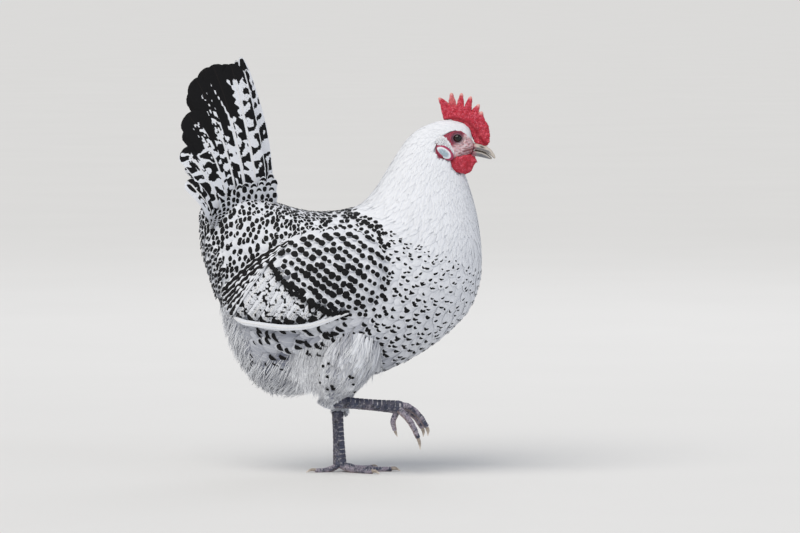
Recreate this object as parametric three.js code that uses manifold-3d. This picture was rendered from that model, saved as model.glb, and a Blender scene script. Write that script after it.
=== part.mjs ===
// A hen of a silver-pencilled country breed, walking, with its right leg raised.
// Millimetres, +Z up, bill toward +X. The bird's right side is -Y.
import * as THREE from 'three';
import { ParametricGeometry } from 'three/addons/geometries/ParametricGeometry.js';
import { mergeVertices } from 'three/addons/utils/BufferGeometryUtils.js';
import Module from 'manifold-3d';

const wasm = await Module();
wasm.setup();
const { Manifold, Mesh: SolidMesh } = wasm;

// ---------------------------------------------------------------- driving sizes

const GAP = 0.3;                 // clearance between neighbouring pieces
const CROWN_HEIGHT = 395.5;      // top of the skull above the floor
const EYE_RADIUS = 6.4;
const EYE_CENTRE = [133.8, 10.9, 375.2];
const SHANK_LENGTH = 80;         // hock to the root of the toes
const SHANK_DEPTH = 6;           // half of it, seen from the side
const SHANK_WIDTH = 4.4;         // half of it, seen from the front
const WING_THICKNESS = 8.5;
const TAIL_FEATHERS = 7;         // on each side
const TAIL_SPREAD = 44;          // half the width of the open tail at the back
const COMB_THICKNESS = 6.4;

// Body sections from the face to the stern: back line x z, belly line x z, half width,
// how far the widest level lies above (+) or below (-) the middle, and how square the
// section is (0 is an ellipse).
const BODY_SECTIONS = [
  { part: 'lore', back: [151, 373], belly: [150, 357], half: 7.5, high: 0, full: 0 },
  { part: 'brow', back: [146, 387.5], belly: [143.5, 352], half: 12.5, high: 0.05, full: 0 },
  { part: 'eye', back: [135, 393.5], belly: [139.5, 347], half: 15.8, high: 0, full: 0 },
  { part: 'crown', back: [120, CROWN_HEIGHT], belly: [139.5, 341.5], half: 17.4, high: -0.08, full: 0 },
  { part: 'nape', back: [103, 391], belly: [142, 335], half: 19.8, high: -0.1, full: 0 },
  { part: 'throat', back: [91, 385.5], belly: [145, 326.5], half: 23.5, high: -0.1, full: 0 },
  { part: 'upper neck', back: [78, 374.5], belly: [149, 314], half: 28.5, high: -0.08, full: 0.02 },
  { part: 'middle neck', back: [66, 357.5], belly: [153, 300], half: 35, high: -0.05, full: 0.04 },
  { part: 'lower neck', back: [53.5, 337.5], belly: [157, 282], half: 42.5, high: -0.04, full: 0.06 },
  { part: 'hackle', back: [40, 316.5], belly: [160, 259], half: 51, high: -0.04, full: 0.08 },
  { part: 'shoulder', back: [24, 300.5], belly: [161, 236], half: 59, high: 0, full: 0.1 },
  { part: 'breast', back: [5, 294.5], belly: [158, 209], half: 65, high: 0.04, full: 0.13 },
  { part: 'crop', back: [-12, 292.5], belly: [148, 184], half: 68.5, high: 0.05, full: 0.16 },
  { part: 'keel', back: [-28, 292.5], belly: [127, 160], half: 70.5, high: 0.06, full: 0.17 },
  { part: 'saddle', back: [-42, 294.5], belly: [99, 138.5], half: 71, high: 0.06, full: 0.16 },
  { part: 'loin', back: [-54, 297.5], belly: [64, 119], half: 70, high: 0.04, full: 0.14 },
  { part: 'belly', back: [-66, 301], belly: [27, 106], half: 68, high: 0.02, full: 0.12 },
  { part: 'rump', back: [-80, 305], belly: [-12, 98], half: 65, high: 0, full: 0.1 },
  { part: 'abdomen', back: [-97, 309], belly: [-47, 90.5], half: 60.5, high: -0.03, full: 0.08 },
  { part: 'vent', back: [-113, 311], belly: [-79, 98], half: 53.5, high: -0.05, full: 0.06 },
  { part: 'stern', back: [-129, 311], belly: [-102, 118], half: 45, high: -0.03, full: 0.04 },
  { part: 'fluff', back: [-143, 306], belly: [-119, 146], half: 33.5, high: 0.04, full: 0.02 },
  { part: 'cushion', back: [-152.5, 294], belly: [-132, 187], half: 20, high: 0.1, full: 0 },
];
const FACE_POINT = [153.5, 365];
const STERN_POINT = [-151, 248];

// Planes that part the body: a point x z on each and the tilt of its normal.
const HEAD_CUT = { at: [88, 386], tilt: 39 };
const NECK_CUT = { at: [47, 327], tilt: 63 };

// Wing: upper and lower edges from the shoulder to the tip, as x z.
const WING_TOP = [
  [52, 232], [44, 258], [20, 275], [-14, 281], [-50, 272], [-82, 247], [-106, 216], [-121, 187],
];
const WING_LOW = [
  [52, 232], [46, 208], [22, 187], [-10, 174], [-44, 168], [-76, 168], [-102, 173], [-121, 187],
];

// Tail: tip of every feather of one side, from the foremost to the outermost.
const TAIL_TIPS = [
  [-106, 467], [-123, 457], [-144, 456], [-160, 440], [-166, 410], [-171, 372], [-167, 334],
];
const TAIL_ROOT_FRONT = [-80, 288];
const TAIL_ROOT_BACK = [-138, 280];

// ---------------------------------------------------------------- materials

const finish = (color, roughness, metalness = 0) =>
  new THREE.MeshStandardMaterial({ color, roughness, metalness });
const PLUMAGE_WHITE = finish('#e6e8ec', 0.9);
const PLUMAGE_PENCILLED = finish('#a9abb0', 0.9);
const PLUMAGE_DARK = finish('#55565c', 0.85);
const PLUMAGE_FLUFF = finish('#c9cacd', 0.95);
const COMB_SKIN = finish('#c2283a', 0.6);
const WATTLE_SKIN = finish('#a91d30', 0.55);
const LOBE_SKIN = finish('#d5dbe6', 0.6);
const BILL_HORN = finish('#8b8786', 0.45);
const EYE_GLOSS = finish('#2a1710', 0.12);
const LEG_SCALES = finish('#5b6070', 0.6);
const CLAW_HORN = finish('#b9ada3', 0.45);

// ---------------------------------------------------------------- making solids

// Turns a closed three.js geometry into a manifold solid, swollen by a clearance.
function solid(geometry, grow = 0) {
  const bare = new THREE.BufferGeometry();
  bare.setAttribute('position', geometry.getAttribute('position').clone());
  if (geometry.index) {
    bare.setIndex(geometry.index.clone());
  }
  const welded = mergeVertices(bare, 1e-4);
  const index = welded.index.array;
  const faces = [];
  for (let i = 0; i < index.length; i += 3) {
    const [a, b, c] = [index[i], index[i + 1], index[i + 2]];
    if (a !== b && b !== c && c !== a) {
      faces.push(a, b, c);
    }
  }
  const place = welded.getAttribute('position');
  if (enclosedVolume(place, faces) < 0) {
    faces.reverse();
  }
  if (grow > 0) {
    welded.setIndex(faces);
    welded.computeVertexNormals();
    const normal = welded.getAttribute('normal');
    for (let i = 0; i < place.count; i += 1) {
      place.setXYZ(i, place.getX(i) + normal.getX(i) * grow,
        place.getY(i) + normal.getY(i) * grow, place.getZ(i) + normal.getZ(i) * grow);
    }
  }
  return new Manifold(new SolidMesh({
    numProp: 3,
    vertProperties: new Float32Array(place.array),
    triVerts: new Uint32Array(faces),
  }));
}

function enclosedVolume(place, faces) {
  const [a, b, c] = [new THREE.Vector3(), new THREE.Vector3(), new THREE.Vector3()];
  let volume = 0;
  for (let i = 0; i < faces.length; i += 3) {
    a.fromBufferAttribute(place, faces[i]);
    b.fromBufferAttribute(place, faces[i + 1]);
    c.fromBufferAttribute(place, faces[i + 2]);
    volume += a.dot(b.cross(c)) / 6;
  }
  return volume;
}

// A closed skin from rings: point(around, along) gives a place for 0..1 and 0..1,
// and every ring shrinks to one point at both ends.
function loft(point, around, along, grow = 0) {
  const place = (u, v, target) => {
    const p = point(u >= 1 ? 0 : u, v);
    target.set(p[0], p[1], p[2]);
  };
  return solid(new ParametricGeometry(place, around, along), grow);
}

// A smooth curve through given places, read by 0..1.
function curveThrough(places) {
  const curve = new THREE.CatmullRomCurve3(places.map((p) => new THREE.Vector3(...p)), false, 'centripetal');
  return (t) => curve.getPoint(Math.min(1, Math.max(0, t)));
}

// A smooth run of plain numbers, read by 0..1.
function runThrough(numbers) {
  const read = curveThrough(numbers.map((n, i) => [i * 1000, n, 0]));
  return (t) => read(t).y;
}

// A round limb along a path; sizes are [half width, half depth] at even steps.
function limb(path, sizes, { grow = 0, around = 10, along = 12, side = [0, 1, 0] } = {}) {
  const axis = curveThrough(path);
  const width = runThrough(sizes.map((s) => s[0]));
  const depth = runThrough(sizes.map((s) => s[1]));
  const across = new THREE.Vector3(...side).normalize();
  const point = (u, v) => {
    const cap = endRounding(v, along);
    const here = axis(cap.at);
    const ahead = axis(Math.min(1, cap.at + 0.01)).sub(axis(Math.max(0, cap.at - 0.01))).normalize();
    const lateral = across.clone().addScaledVector(ahead, -across.dot(ahead)).normalize();
    const deep = new THREE.Vector3().crossVectors(ahead, lateral);
    const angle = 2 * Math.PI * u;
    const w = width(cap.at) * cap.size;
    const d = depth(cap.at) * cap.size;
    here.addScaledVector(lateral, Math.cos(angle) * w);
    here.addScaledVector(deep, Math.sin(angle) * d);
    here.addScaledVector(ahead, cap.push * Math.min(width(cap.at), depth(cap.at)) * 0.6);
    return [here.x, here.y, here.z];
  };
  return loft(point, around, along + 4, grow);
}

// Two short rings at each end of a limb close it with a rounded cap.
function endRounding(v, along) {
  const steps = along + 4;
  const i = Math.round(v * steps);
  if (i === 0 || i === steps) {
    return { at: i === 0 ? 0 : 1, size: 0, push: i === 0 ? -1 : 1 };
  }
  if (i === 1 || i === steps - 1) {
    return { at: i === 1 ? 0 : 1, size: 0.72, push: i === 1 ? -0.6 : 0.6 };
  }
  return { at: (i - 2) / along, size: 1, push: 0 };
}

function ellipsoid(centre, radii, turns = [0, 0, 0], segments = [14, 10]) {
  const ball = new THREE.SphereGeometry(1, segments[0], segments[1]);
  ball.scale(...radii);
  ball.rotateX(turns[0]);
  ball.rotateY(turns[1]);
  ball.rotateZ(turns[2]);
  ball.translate(...centre);
  return solid(ball);
}

const mirrored = (body) => body.mirror([0, 1, 0]);

// Keeps the side of a slanting plane that its normal, tilted from +X in XZ, points to.
function keptBeyond(body, cut, direction) {
  const angle = THREE.MathUtils.degToRad(cut.tilt);
  const normal = [Math.cos(angle) * direction, 0, Math.sin(angle) * direction];
  const offset = normal[0] * cut.at[0] + normal[2] * cut.at[1];
  return body.trimByPlane(normal, offset + GAP / 2);
}

// ---------------------------------------------------------------- body

const midline = (points) => curveThrough(points.map(([x, z]) => [x, 0, z]));
const backLine = midline([FACE_POINT, ...BODY_SECTIONS.map((s) => s.back), STERN_POINT]);
const bellyLine = midline([FACE_POINT, ...BODY_SECTIONS.map((s) => s.belly), STERN_POINT]);
const halfWidth = runThrough([0, ...BODY_SECTIONS.map((s) => s.half), 0]);
const widestLevel = runThrough([0, ...BODY_SECTIONS.map((s) => s.high), 0]);
const squareness = runThrough([0, ...BODY_SECTIONS.map((s) => s.full), 0]);

// Place on the body: along 0..1 from face to stern, angle 0 at the back line.
function bodyPoint(angle, along) {
  const top = backLine(along);
  const low = bellyLine(along);
  const middle = top.clone().add(low).multiplyScalar(0.5);
  const reach = top.clone().sub(low).multiplyScalar(0.5);
  const power = 1 - squareness(along);
  const squared = (value) => Math.sign(value) * Math.abs(value) ** power;
  const rise = squared(Math.cos(angle));
  const side = squared(Math.sin(angle)) * (1 + widestLevel(along) * rise);
  const half = along <= 0 || along >= 1 ? 0 : Math.max(0, halfWidth(along));
  return [middle.x + reach.x * rise, side * half, middle.z + reach.z * rise];
}

function bodySolid(grow, around = 24, along = 40) {
  return loft((u, v) => bodyPoint(2 * Math.PI * u, v), around, along, grow);
}

// Half width of the body at a place seen from the side.
function bodyHalfWidthAt(x, z) {
  let low = 0.02;
  let high = 0.98;
  const ahead = (t) => {
    const a = backLine(t);
    const b = bellyLine(t);
    return (b.x - a.x) * (z - a.z) - (b.z - a.z) * (x - a.x);
  };
  for (let i = 0; i < 40; i += 1) {
    const mid = (low + high) / 2;
    if (ahead(mid) < 0) {
      low = mid;
    } else {
      high = mid;
    }
  }
  const a = backLine(low);
  const b = bellyLine(low);
  const share = ((x - a.x) * (b.x - a.x) + (z - a.z) * (b.z - a.z)) / a.distanceToSquared(b);
  const rise = Math.min(1, Math.max(-1, 1 - 2 * share));
  const power = 1 - squareness(low);
  const turn = Math.acos(Math.sign(rise) * Math.abs(rise) ** (1 / power));
  return Math.sin(turn) ** power * (1 + widestLevel(low) * rise) * halfWidth(low);
}

const body = bodySolid(0);
const bodyClear = bodySolid(GAP * 1.15);

const eyeSocket = ellipsoid(EYE_CENTRE, Array(3).fill(EYE_RADIUS + GAP * 1.1), [0, 0, 0], [12, 7]);
const headWhole = keptBeyond(body, HEAD_CUT, 1);
const head = headWhole.subtract(eyeSocket).subtract(mirrored(eyeSocket));
const neck = keptBeyond(keptBeyond(body, HEAD_CUT, -1), NECK_CUT, 1);
const trunk = keptBeyond(body, NECK_CUT, -1);

// ---------------------------------------------------------------- face

const eye = ellipsoid(EYE_CENTRE, Array(3).fill(EYE_RADIUS), [0, 0, 0], [12, 7]);

function bill(path, sizes, grow) {
  return limb(path, sizes, { grow, around: 8, along: 6 });
}
const UPPER_BILL_PATH = [
  [143, 0, 366], [153, 0, 365.4], [161, 0, 363.8], [168, 0, 360.6], [173, 0, 356], [175.2, 0, 352.6],
];
const UPPER_BILL_SIZES = [[6.8, 4.2], [6.3, 4], [5.3, 3.7], [4, 3.1], [2.4, 2], [0.9, 0.9]];
const LOWER_BILL_PATH = [
  [143, 0, 358.8], [153, 0, 358], [160, 0, 356.8], [166, 0, 354.8], [171.5, 0, 352],
];
const LOWER_BILL_SIZES = [[6, 3.4], [5.5, 3.3], [4.5, 3.1], [3.1, 2.5], [1.2, 0.9]];
const upperBill = bill(UPPER_BILL_PATH, UPPER_BILL_SIZES, 0);
const upperBillClear = bill(UPPER_BILL_PATH, UPPER_BILL_SIZES, GAP);
const beakUpper = upperBill.subtract(bodyClear);
const beakLower = bill(LOWER_BILL_PATH, LOWER_BILL_SIZES, 0).subtract(bodyClear).subtract(upperBillClear);

// Comb outline from its rear root over the spikes to the front lobe, as x z.
const COMB_REAR = [120.5, 391];
const COMB_SPIKES = [
  { tip: [112.4, 420.5], valley: [123.8, 412] },
  { tip: [126.7, 425.7], valley: [132.4, 409.5] },
  { tip: [138.2, 425.5], valley: [140.8, 406.8] },
  { tip: [148.6, 422], valley: [148.8, 403.4] },
  { tip: [157.6, 412.8], valley: [156.9, 401.4] },
  { tip: [160.6, 404.6], valley: [161.8, 399] },
];
const COMB_FRONT = [
  [166, 392], [168.5, 386], [169.2, 378], [168.8, 370.5], [166.6, 366.6], [160, 366.6],
];

// Each spike leaves its valley steeply, narrows upward and ends in a blunt tip.
function combOutline() {
  const outline = [COMB_REAR, [117.2, 400]];
  let before = [119, 404];
  for (const { tip, valley } of COMB_SPIKES) {
    const flank = (foot, side, share) => [
      foot[0] + (tip[0] - foot[0]) * share ** 1.5 + side * 1.1 * share,
      foot[1] + (tip[1] - foot[1]) * share,
    ];
    if (before[0] > COMB_REAR[0]) {
      outline.push(flank(before, -1, 0.4));
    }
    outline.push(flank(before, -1, 0.92), tip, flank(valley, 1, 0.9), flank(valley, 1, 0.4), valley);
    before = valley;
  }
  outline.push(...COMB_FRONT, [150, 371], [142, 386]);
  return new THREE.Shape(outline.map(([x, z]) => new THREE.Vector2(x, z)));
}

// The blade is thick at the root, thin toward the spikes, and waves a little.
function combSolid() {
  const blade = new THREE.ExtrudeGeometry(combOutline(), {
    depth: COMB_THICKNESS * 0.4, bevelThickness: COMB_THICKNESS * 0.3,
    bevelSize: 0.5, bevelOffset: -0.5, bevelSegments: 1,
  });
  blade.rotateX(Math.PI / 2);
  blade.translate(0, COMB_THICKNESS * 0.2, 0);
  const place = blade.getAttribute('position');
  for (let i = 0; i < place.count; i += 1) {
    const height = THREE.MathUtils.clamp((place.getZ(i) - 388) / 36, 0, 1);
    const wave = 1.1 * Math.sin((place.getX(i) - 118) * 0.16) * height;
    place.setY(i, place.getY(i) * (1 - 0.55 * height) + wave);
  }
  return solid(blade);
}
const comb = combSolid().subtract(bodyClear).subtract(upperBillClear);

function wattleSolid() {
  const disc = new THREE.SphereGeometry(1, 12, 6);
  disc.scale(14.2, 2.9, 10.8);
  const place = disc.getAttribute('position');
  for (let i = 0; i < place.count; i += 1) {
    const drop = THREE.MathUtils.clamp(-place.getZ(i) / 10, 0, 1);
    place.setX(i, place.getX(i) * (1 - 0.25 * drop) - 3.2 * drop);
    place.setY(i, place.getY(i) + 1.5 * drop);
  }
  disc.rotateY(0.14);
  disc.rotateZ(-0.14);
  disc.translate(141.6, 16.4, 344.2);
  return solid(disc).subtract(bodyClear);
}
const wattle = wattleSolid();

const EARLOBE = { centre: [119.6, 21.3, 359], radii: [9.4, 3.2, 5.4], turn: 0.6 };
const earlobe = ellipsoid(EARLOBE.centre, EARLOBE.radii, [0, EARLOBE.turn, 0.2], [10, 6])
  .subtract(bodyClear);

// ---------------------------------------------------------------- wings

// A folded wing lies on the flank: thick in the middle, thin at its edges, its tip
// a little off the body.
function wingSolid() {
  const upper = curveThrough(WING_TOP.map(([x, z]) => [x, 0, z]));
  const lower = curveThrough(WING_LOW.map(([x, z]) => [x, 0, z]));
  const point = (u, v) => {
    const onOuterFace = u < 0.5;
    const across = onOuterFace ? u * 2 : 2 - u * 2;
    const share = 0.5 - 0.5 * Math.cos(Math.PI * across);
    const along = 0.5 - 0.5 * Math.cos(Math.PI * v);
    const a = upper(along);
    const b = lower(along);
    const x = a.x + (b.x - a.x) * share;
    const z = a.z + (b.z - a.z) * share;
    const atEnds = Math.min(1, 8 * along, 3.5 * (1 - along)) ** 0.6;
    const round = Math.sqrt(Math.max(0, 1 - (2 * share - 1) ** 2)) * atEnds;
    const lifted = 9 * Math.max(0, along - 0.62);
    const skin = Math.max(16, bodyHalfWidthAt(x, z)) + lifted;
    const inner = skin - 3.5 + lifted;
    const outer = skin + 0.8 + WING_THICKNESS * (0.25 + 0.75 * round);
    const atRim = across <= 0 || across >= 1 || v <= 0 || v >= 1;
    return [x, atRim ? skin + 1.2 : onOuterFace ? outer : inner, z];
  };
  return loft(point, 14, 12).subtract(bodyClear);
}
const wing = wingSolid();

// ---------------------------------------------------------------- tail

// One blade-shaped feather from its root to its rounded tip, bowed forward and out.
function tailFeather(root, tip, width, thick) {
  const a = new THREE.Vector3(...root);
  const b = new THREE.Vector3(...tip);
  const middle = a.clone().lerp(b, 0.55).add(new THREE.Vector3(8, 3, 0));
  const axis = curveThrough([a.toArray(), middle.toArray(), b.toArray()]);
  const ahead = b.clone().sub(a).normalize();
  const across = new THREE.Vector3(0.9, -0.42, 0.1);
  across.addScaledVector(ahead, -across.dot(ahead)).normalize();
  const out = new THREE.Vector3().crossVectors(across, ahead);
  const point = (u, v) => {
    const along = Math.sin(v * Math.PI / 2);
    const open = v <= 0 || v >= 1 ? 0 : 1;
    const tipRound = Math.sqrt(Math.max(0, 1 - Math.max(0, (along - 0.8) / 0.2) ** 2));
    const w = width * Math.min(1, 0.7 + along) * tipRound * open;
    const t = thick * (1 - 0.72 * along) * open;
    const angle = 2 * Math.PI * u;
    const here = axis(along);
    here.addScaledVector(across, Math.cos(angle) * w).addScaledVector(out, Math.sin(angle) * t);
    return [here.x, here.y, here.z];
  };
  return loft(point, 6, 5);
}

function tailSide() {
  const blades = TAIL_TIPS.map(([x, z], i) => {
    const share = i / (TAIL_FEATHERS - 1);
    const root = [
      THREE.MathUtils.lerp(TAIL_ROOT_FRONT[0], TAIL_ROOT_BACK[0], share),
      3 + 24 * share,
      THREE.MathUtils.lerp(TAIL_ROOT_FRONT[1], TAIL_ROOT_BACK[1], share),
    ];
    const tip = [x, 4 + TAIL_SPREAD * share ** 0.8, z];
    return tailFeather(root, tip, 17 - 2 * share, 9);
  });
  return Manifold.union(blades).trimByPlane([0, 1, 0], GAP / 2).subtract(bodyClear);
}
const tail = tailSide();

// ---------------------------------------------------------------- legs

// Right leg raised, left leg standing. Hock, then the root of the toes.
const LEGS = {
  right: {
    thigh: [[24, -38, 168], [16, -44, 140], [4, -46, 114], [-6, -43, 96], [-11, -40, 84]],
    hock: [-11, -40, 83],
    foot: [-11 + SHANK_LENGTH * 0.994, -33, 75.5],
  },
  left: {
    thigh: [[22, 34, 168], [17, 36, 142], [11, 30, 116], [5, 18, 94], [3, 9, 77]],
    hock: [-2, 7, 90],
    foot: [1.5, 2, 10],
  },
};
const THIGH_SIZES = [[24, 34], [27, 34], [23, 27], [14, 16.5], [8.5, 9.5]];

function thighSolid(leg) {
  return limb(leg.thigh, THIGH_SIZES, { around: 14, along: 6 }).subtract(bodyClear);
}

const SHANK_SIZES = [[6, 7.4], [4.8, 6.4], [SHANK_WIDTH, SHANK_DEPTH], [4.8, 6.4], [6.2, 7.4]];
function shankSolid(leg, grow) {
  const ankle = leg.hock.map((h, i) => h + (leg.foot[i] - h) * 0.5);
  return limb([leg.hock, ankle, leg.foot], SHANK_SIZES, { grow, around: 8, along: 4 });
}

// Toes: the path of each from the root outward, its thickness, and its joints.
const TOE_SIZE = 4.1;
const TOE_TAPER = 0.34;
const TOE_START = 2;             // from the middle of the foot joint
const SOLE_LEVEL = 0.78;         // height of a lying toe's axis in its own radii
function toeSolid(path, size, joints, grow) {
  const sizes = [];
  for (let i = 0; i <= joints * 2; i += 1) {
    const t = i / (joints * 2);
    const pad = 1 + (i % 2 === 0 ? 0.06 : -0.06);
    const r = size * (1 - TOE_TAPER * t) * pad;
    sizes.push([r * 1.05, r]);
  }
  return limb(path, sizes, { grow, around: 6, along: joints * 2 - 1 });
}

function clawSolid(path, size) {
  const sizes = [[size, size * 1.15], [size * 0.75, size], [0.35, 0.4]];
  return limb(path, sizes, { around: 5, along: 2 });
}

// Every toe of a foot is given by its direction from the foot, its length and droop.
const STANDING_TOES = [
  { digit: 3, heading: 4, length: 55, joints: 4, size: 1 },
  { digit: 2, heading: -34, length: 41, joints: 3, size: 0.95 },
  { digit: 4, heading: 40, length: 44, joints: 4, size: 0.9 },
  { digit: 1, heading: 196, length: 25, joints: 2, size: 0.85 },
];

// The toe runs down from the foot joint and then lies with its flattened pads on the floor.
function standingPath(foot, toe) {
  const angle = THREE.MathUtils.degToRad(toe.heading);
  const lying = (share) => SOLE_LEVEL * TOE_SIZE * toe.size * (1 - TOE_TAPER * share);
  return [[0, foot[2] - 2.5], [0.24, lying(0.24) + 1.6], [0.55, lying(0.55)], [1, lying(1)]]
    .map(([share, z]) => [foot[0] + Math.cos(angle) * (TOE_START + toe.length * share),
      foot[1] + Math.sin(angle) * (TOE_START + toe.length * share), z]);
}

// The raised foot hangs with its toes loosely closed, as x y z from the foot joint.
const RAISED_TOES = [
  {
    digit: 4, joints: 4, size: 0.92,
    path: [[1, -3, -3], [9.5, -8, -11.5], [16, -11, -21.5], [20.5, -12, -32]],
    claw: [[22.5, -12, -38], [23.5, -11.5, -46]],
  },
  {
    digit: 3, joints: 4, size: 1,
    path: [[1, 1, 2.5], [11.5, 2, -0.5], [23, 3, -10.5], [30, 3.5, -21]],
    claw: [[32, 3.5, -26], [32, 3.5, -32]],
  },
  {
    digit: 2, joints: 3, size: 0.95,
    path: [[1, 5, -1], [10, 10, -5], [19, 13, -13], [25, 14.5, -23]],
    claw: [[27, 15, -28], [27, 15, -34]],
  },
  {
    digit: 1, joints: 2, size: 0.8,
    path: [[-3, 1, -6], [-6.5, 3, -14], [-6.5, 4, -20], [-5, 4.5, -25]],
    claw: [[-4, 4.5, -28.5], [-2, 4.5, -33]],
  },
];

// ---------------------------------------------------------------- assembly

const part = new THREE.Group();
part.name = 'hen';

function place(name, shape, material) {
  const source = shape.getMesh();
  const geometry = new THREE.BufferGeometry();
  geometry.setAttribute('position', new THREE.BufferAttribute(new Float32Array(source.vertProperties), 3));
  geometry.setIndex(new THREE.BufferAttribute(new Uint32Array(source.triVerts), 1));
  geometry.computeVertexNormals();
  const mesh = new THREE.Mesh(geometry, material.clone());
  mesh.name = name;
  part.add(mesh);
}

place('trunk', trunk, PLUMAGE_PENCILLED);
place('neck', neck, PLUMAGE_WHITE);
place('head', head, PLUMAGE_WHITE);
place('comb', comb, COMB_SKIN);
place('beak_upper', beakUpper, BILL_HORN);
place('beak_lower', beakLower, BILL_HORN);

for (const [side, turn] of [['left', (shape) => shape], ['right', mirrored]]) {
  place(`eye_${side}`, turn(eye), EYE_GLOSS);
  place(`wattle_${side}`, turn(wattle), WATTLE_SKIN);
  place(`earlobe_${side}`, turn(earlobe), LOBE_SKIN);
  place(`wing_${side}`, turn(wing), PLUMAGE_PENCILLED);
  place(`tail_${side}`, turn(tail), PLUMAGE_DARK);
}

for (const [side, leg] of Object.entries(LEGS)) {
  place(`thigh_${side}`, thighSolid(leg).subtract(shankSolid(leg, GAP)), PLUMAGE_FLUFF);
  place(`shank_${side}`, shankSolid(leg, 0).subtract(bodyClear).trimByPlane([0, 0, 1], 0), LEG_SCALES);
}

// Toes are set one after another, each clear of the shank and of the toes before it.
function placeFoot(side, toes, onFloor) {
  const taken = [shankSolid(LEGS[side], GAP)];
  for (const toe of toes) {
    const clear = Manifold.union(taken);
    let flesh = toeSolid(toe.path, TOE_SIZE * toe.size, toe.joints, 0).subtract(clear);
    let claw = clawSolid(toe.claw, TOE_SIZE * toe.size * 0.46);
    claw = claw.subtract(toeSolid(toe.path, TOE_SIZE * toe.size, toe.joints, GAP));
    if (onFloor) {
      flesh = flesh.trimByPlane([0, 0, 1], 0);
      claw = claw.trimByPlane([0, 0, 1], 0);
    }
    place(`toe_${toe.digit}_${side}`, flesh, LEG_SCALES);
    place(`claw_${toe.digit}_${side}`, claw, CLAW_HORN);
    taken.push(toeSolid(toe.path, TOE_SIZE * toe.size, toe.joints, GAP));
  }
}

const standingToes = STANDING_TOES.map((toe) => {
  const path = standingPath(LEGS.left.foot, toe);
  const angle = THREE.MathUtils.degToRad(toe.heading);
  const end = path[path.length - 1];
  const claw = [[0, end[2] + 1], [6, end[2] + 1.2], [11.5, 0.6]]
    .map(([distance, z]) => [end[0] + Math.cos(angle) * distance, end[1] + Math.sin(angle) * distance, z]);
  return { ...toe, path, claw };
});
placeFoot('left', standingToes, true);

const raisedToes = RAISED_TOES.map((toe) => {
  const foot = LEGS.right.foot;
  const set = (p) => p.map((value, i) => value + foot[i]);
  const path = toe.path.map(set);
  return { ...toe, path, claw: [path[path.length - 1], ...toe.claw.map(set)] };
});
placeFoot('right', raisedToes, false);

// The origin is under the middle of the whole bird, on the floor.
const bounds = new THREE.Box3().setFromObject(part);
part.position.set(-(bounds.min.x + bounds.max.x) / 2, -(bounds.min.y + bounds.max.y) / 2, -bounds.min.z);

export default part;
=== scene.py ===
"""Coat, face, legs and stage of a life-size walking hen with silver-pencilled plumage."""
import functools
import math

import bpy
import numpy as np
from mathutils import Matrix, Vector
from mathutils.bvhtree import BVHTree


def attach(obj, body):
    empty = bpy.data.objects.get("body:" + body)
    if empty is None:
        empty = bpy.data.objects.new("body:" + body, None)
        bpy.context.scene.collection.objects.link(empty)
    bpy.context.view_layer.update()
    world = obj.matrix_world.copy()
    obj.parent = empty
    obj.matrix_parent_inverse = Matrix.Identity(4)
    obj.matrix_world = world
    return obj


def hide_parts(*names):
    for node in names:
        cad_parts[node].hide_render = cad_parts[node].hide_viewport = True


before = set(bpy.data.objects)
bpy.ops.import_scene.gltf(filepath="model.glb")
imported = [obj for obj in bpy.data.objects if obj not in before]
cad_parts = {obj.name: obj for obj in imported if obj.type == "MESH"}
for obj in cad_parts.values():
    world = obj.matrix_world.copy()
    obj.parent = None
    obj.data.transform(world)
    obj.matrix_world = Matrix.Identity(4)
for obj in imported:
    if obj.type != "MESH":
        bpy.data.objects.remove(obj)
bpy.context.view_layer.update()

bl_info = {
    "name": "Silver-pencilled hen",
    "version": (1, 0, 0),
    "blender": (4, 5, 0),
    "location": "View3D > Sidebar > Hen",
    "description": "Builds the coat, face, legs and stage of a life-size walking hen",
    "category": "Object",
}

MM = 0.001
SIDES = ((-1, "right"), (1, "left"))
draws = np.random.default_rng

# ---------------- body sizes, millimetres

# Station by station from the face to the stern: back x z, belly x z, half width,
# rise of the widest level, squareness.
BODY_STATIONS = [
    (151, 373, 150, 357, 7.5, 0, 0), (146, 387.5, 143.5, 352, 12.5, 0.05, 0),
    (135, 393.5, 139.5, 347, 15.8, 0, 0), (120, 395.5, 139.5, 341.5, 17.4, -0.08, 0),
    (103, 391, 142, 335, 19.8, -0.1, 0), (91, 385.5, 145, 326.5, 23.5, -0.1, 0),
    (78, 374.5, 149, 314, 28.5, -0.08, 0.02), (66, 357.5, 153, 300, 35, -0.05, 0.04),
    (53.5, 337.5, 157, 282, 42.5, -0.04, 0.06), (40, 316.5, 160, 259, 51, -0.04, 0.08),
    (24, 300.5, 161, 236, 59, 0, 0.1), (5, 294.5, 158, 209, 65, 0.04, 0.13),
    (-12, 292.5, 148, 184, 68.5, 0.05, 0.16), (-28, 292.5, 127, 160, 70.5, 0.06, 0.17),
    (-42, 294.5, 99, 138.5, 71, 0.06, 0.16), (-54, 297.5, 64, 119, 70, 0.04, 0.14),
    (-66, 301, 27, 106, 68, 0.02, 0.12), (-80, 305, -12, 98, 65, 0, 0.1),
    (-97, 309, -47, 90.5, 60.5, -0.03, 0.08), (-113, 311, -79, 98, 53.5, -0.05, 0.06),
    (-129, 311, -102, 118, 45, -0.03, 0.04), (-143, 306, -119, 146, 33.5, 0.04, 0.02),
    (-152.5, 294, -132, 187, 20, 0.1, 0),
]
FACE_POINT = (153.5, 365)
STERN_POINT = (-151, 248)
EYE_CENTRE = (133.8, 10.9, 375.2)
EYE_RADIUS = 6.4
TAIL_TIPS = [(-106, 467), (-123, 457), (-144, 456), (-160, 440), (-166, 410), (-171, 372), (-167, 334)]
TAIL_ROOTS = [(-80, 3, 288), (-138, 27, 280)]
TAIL_FEATHERS = 7
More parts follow.
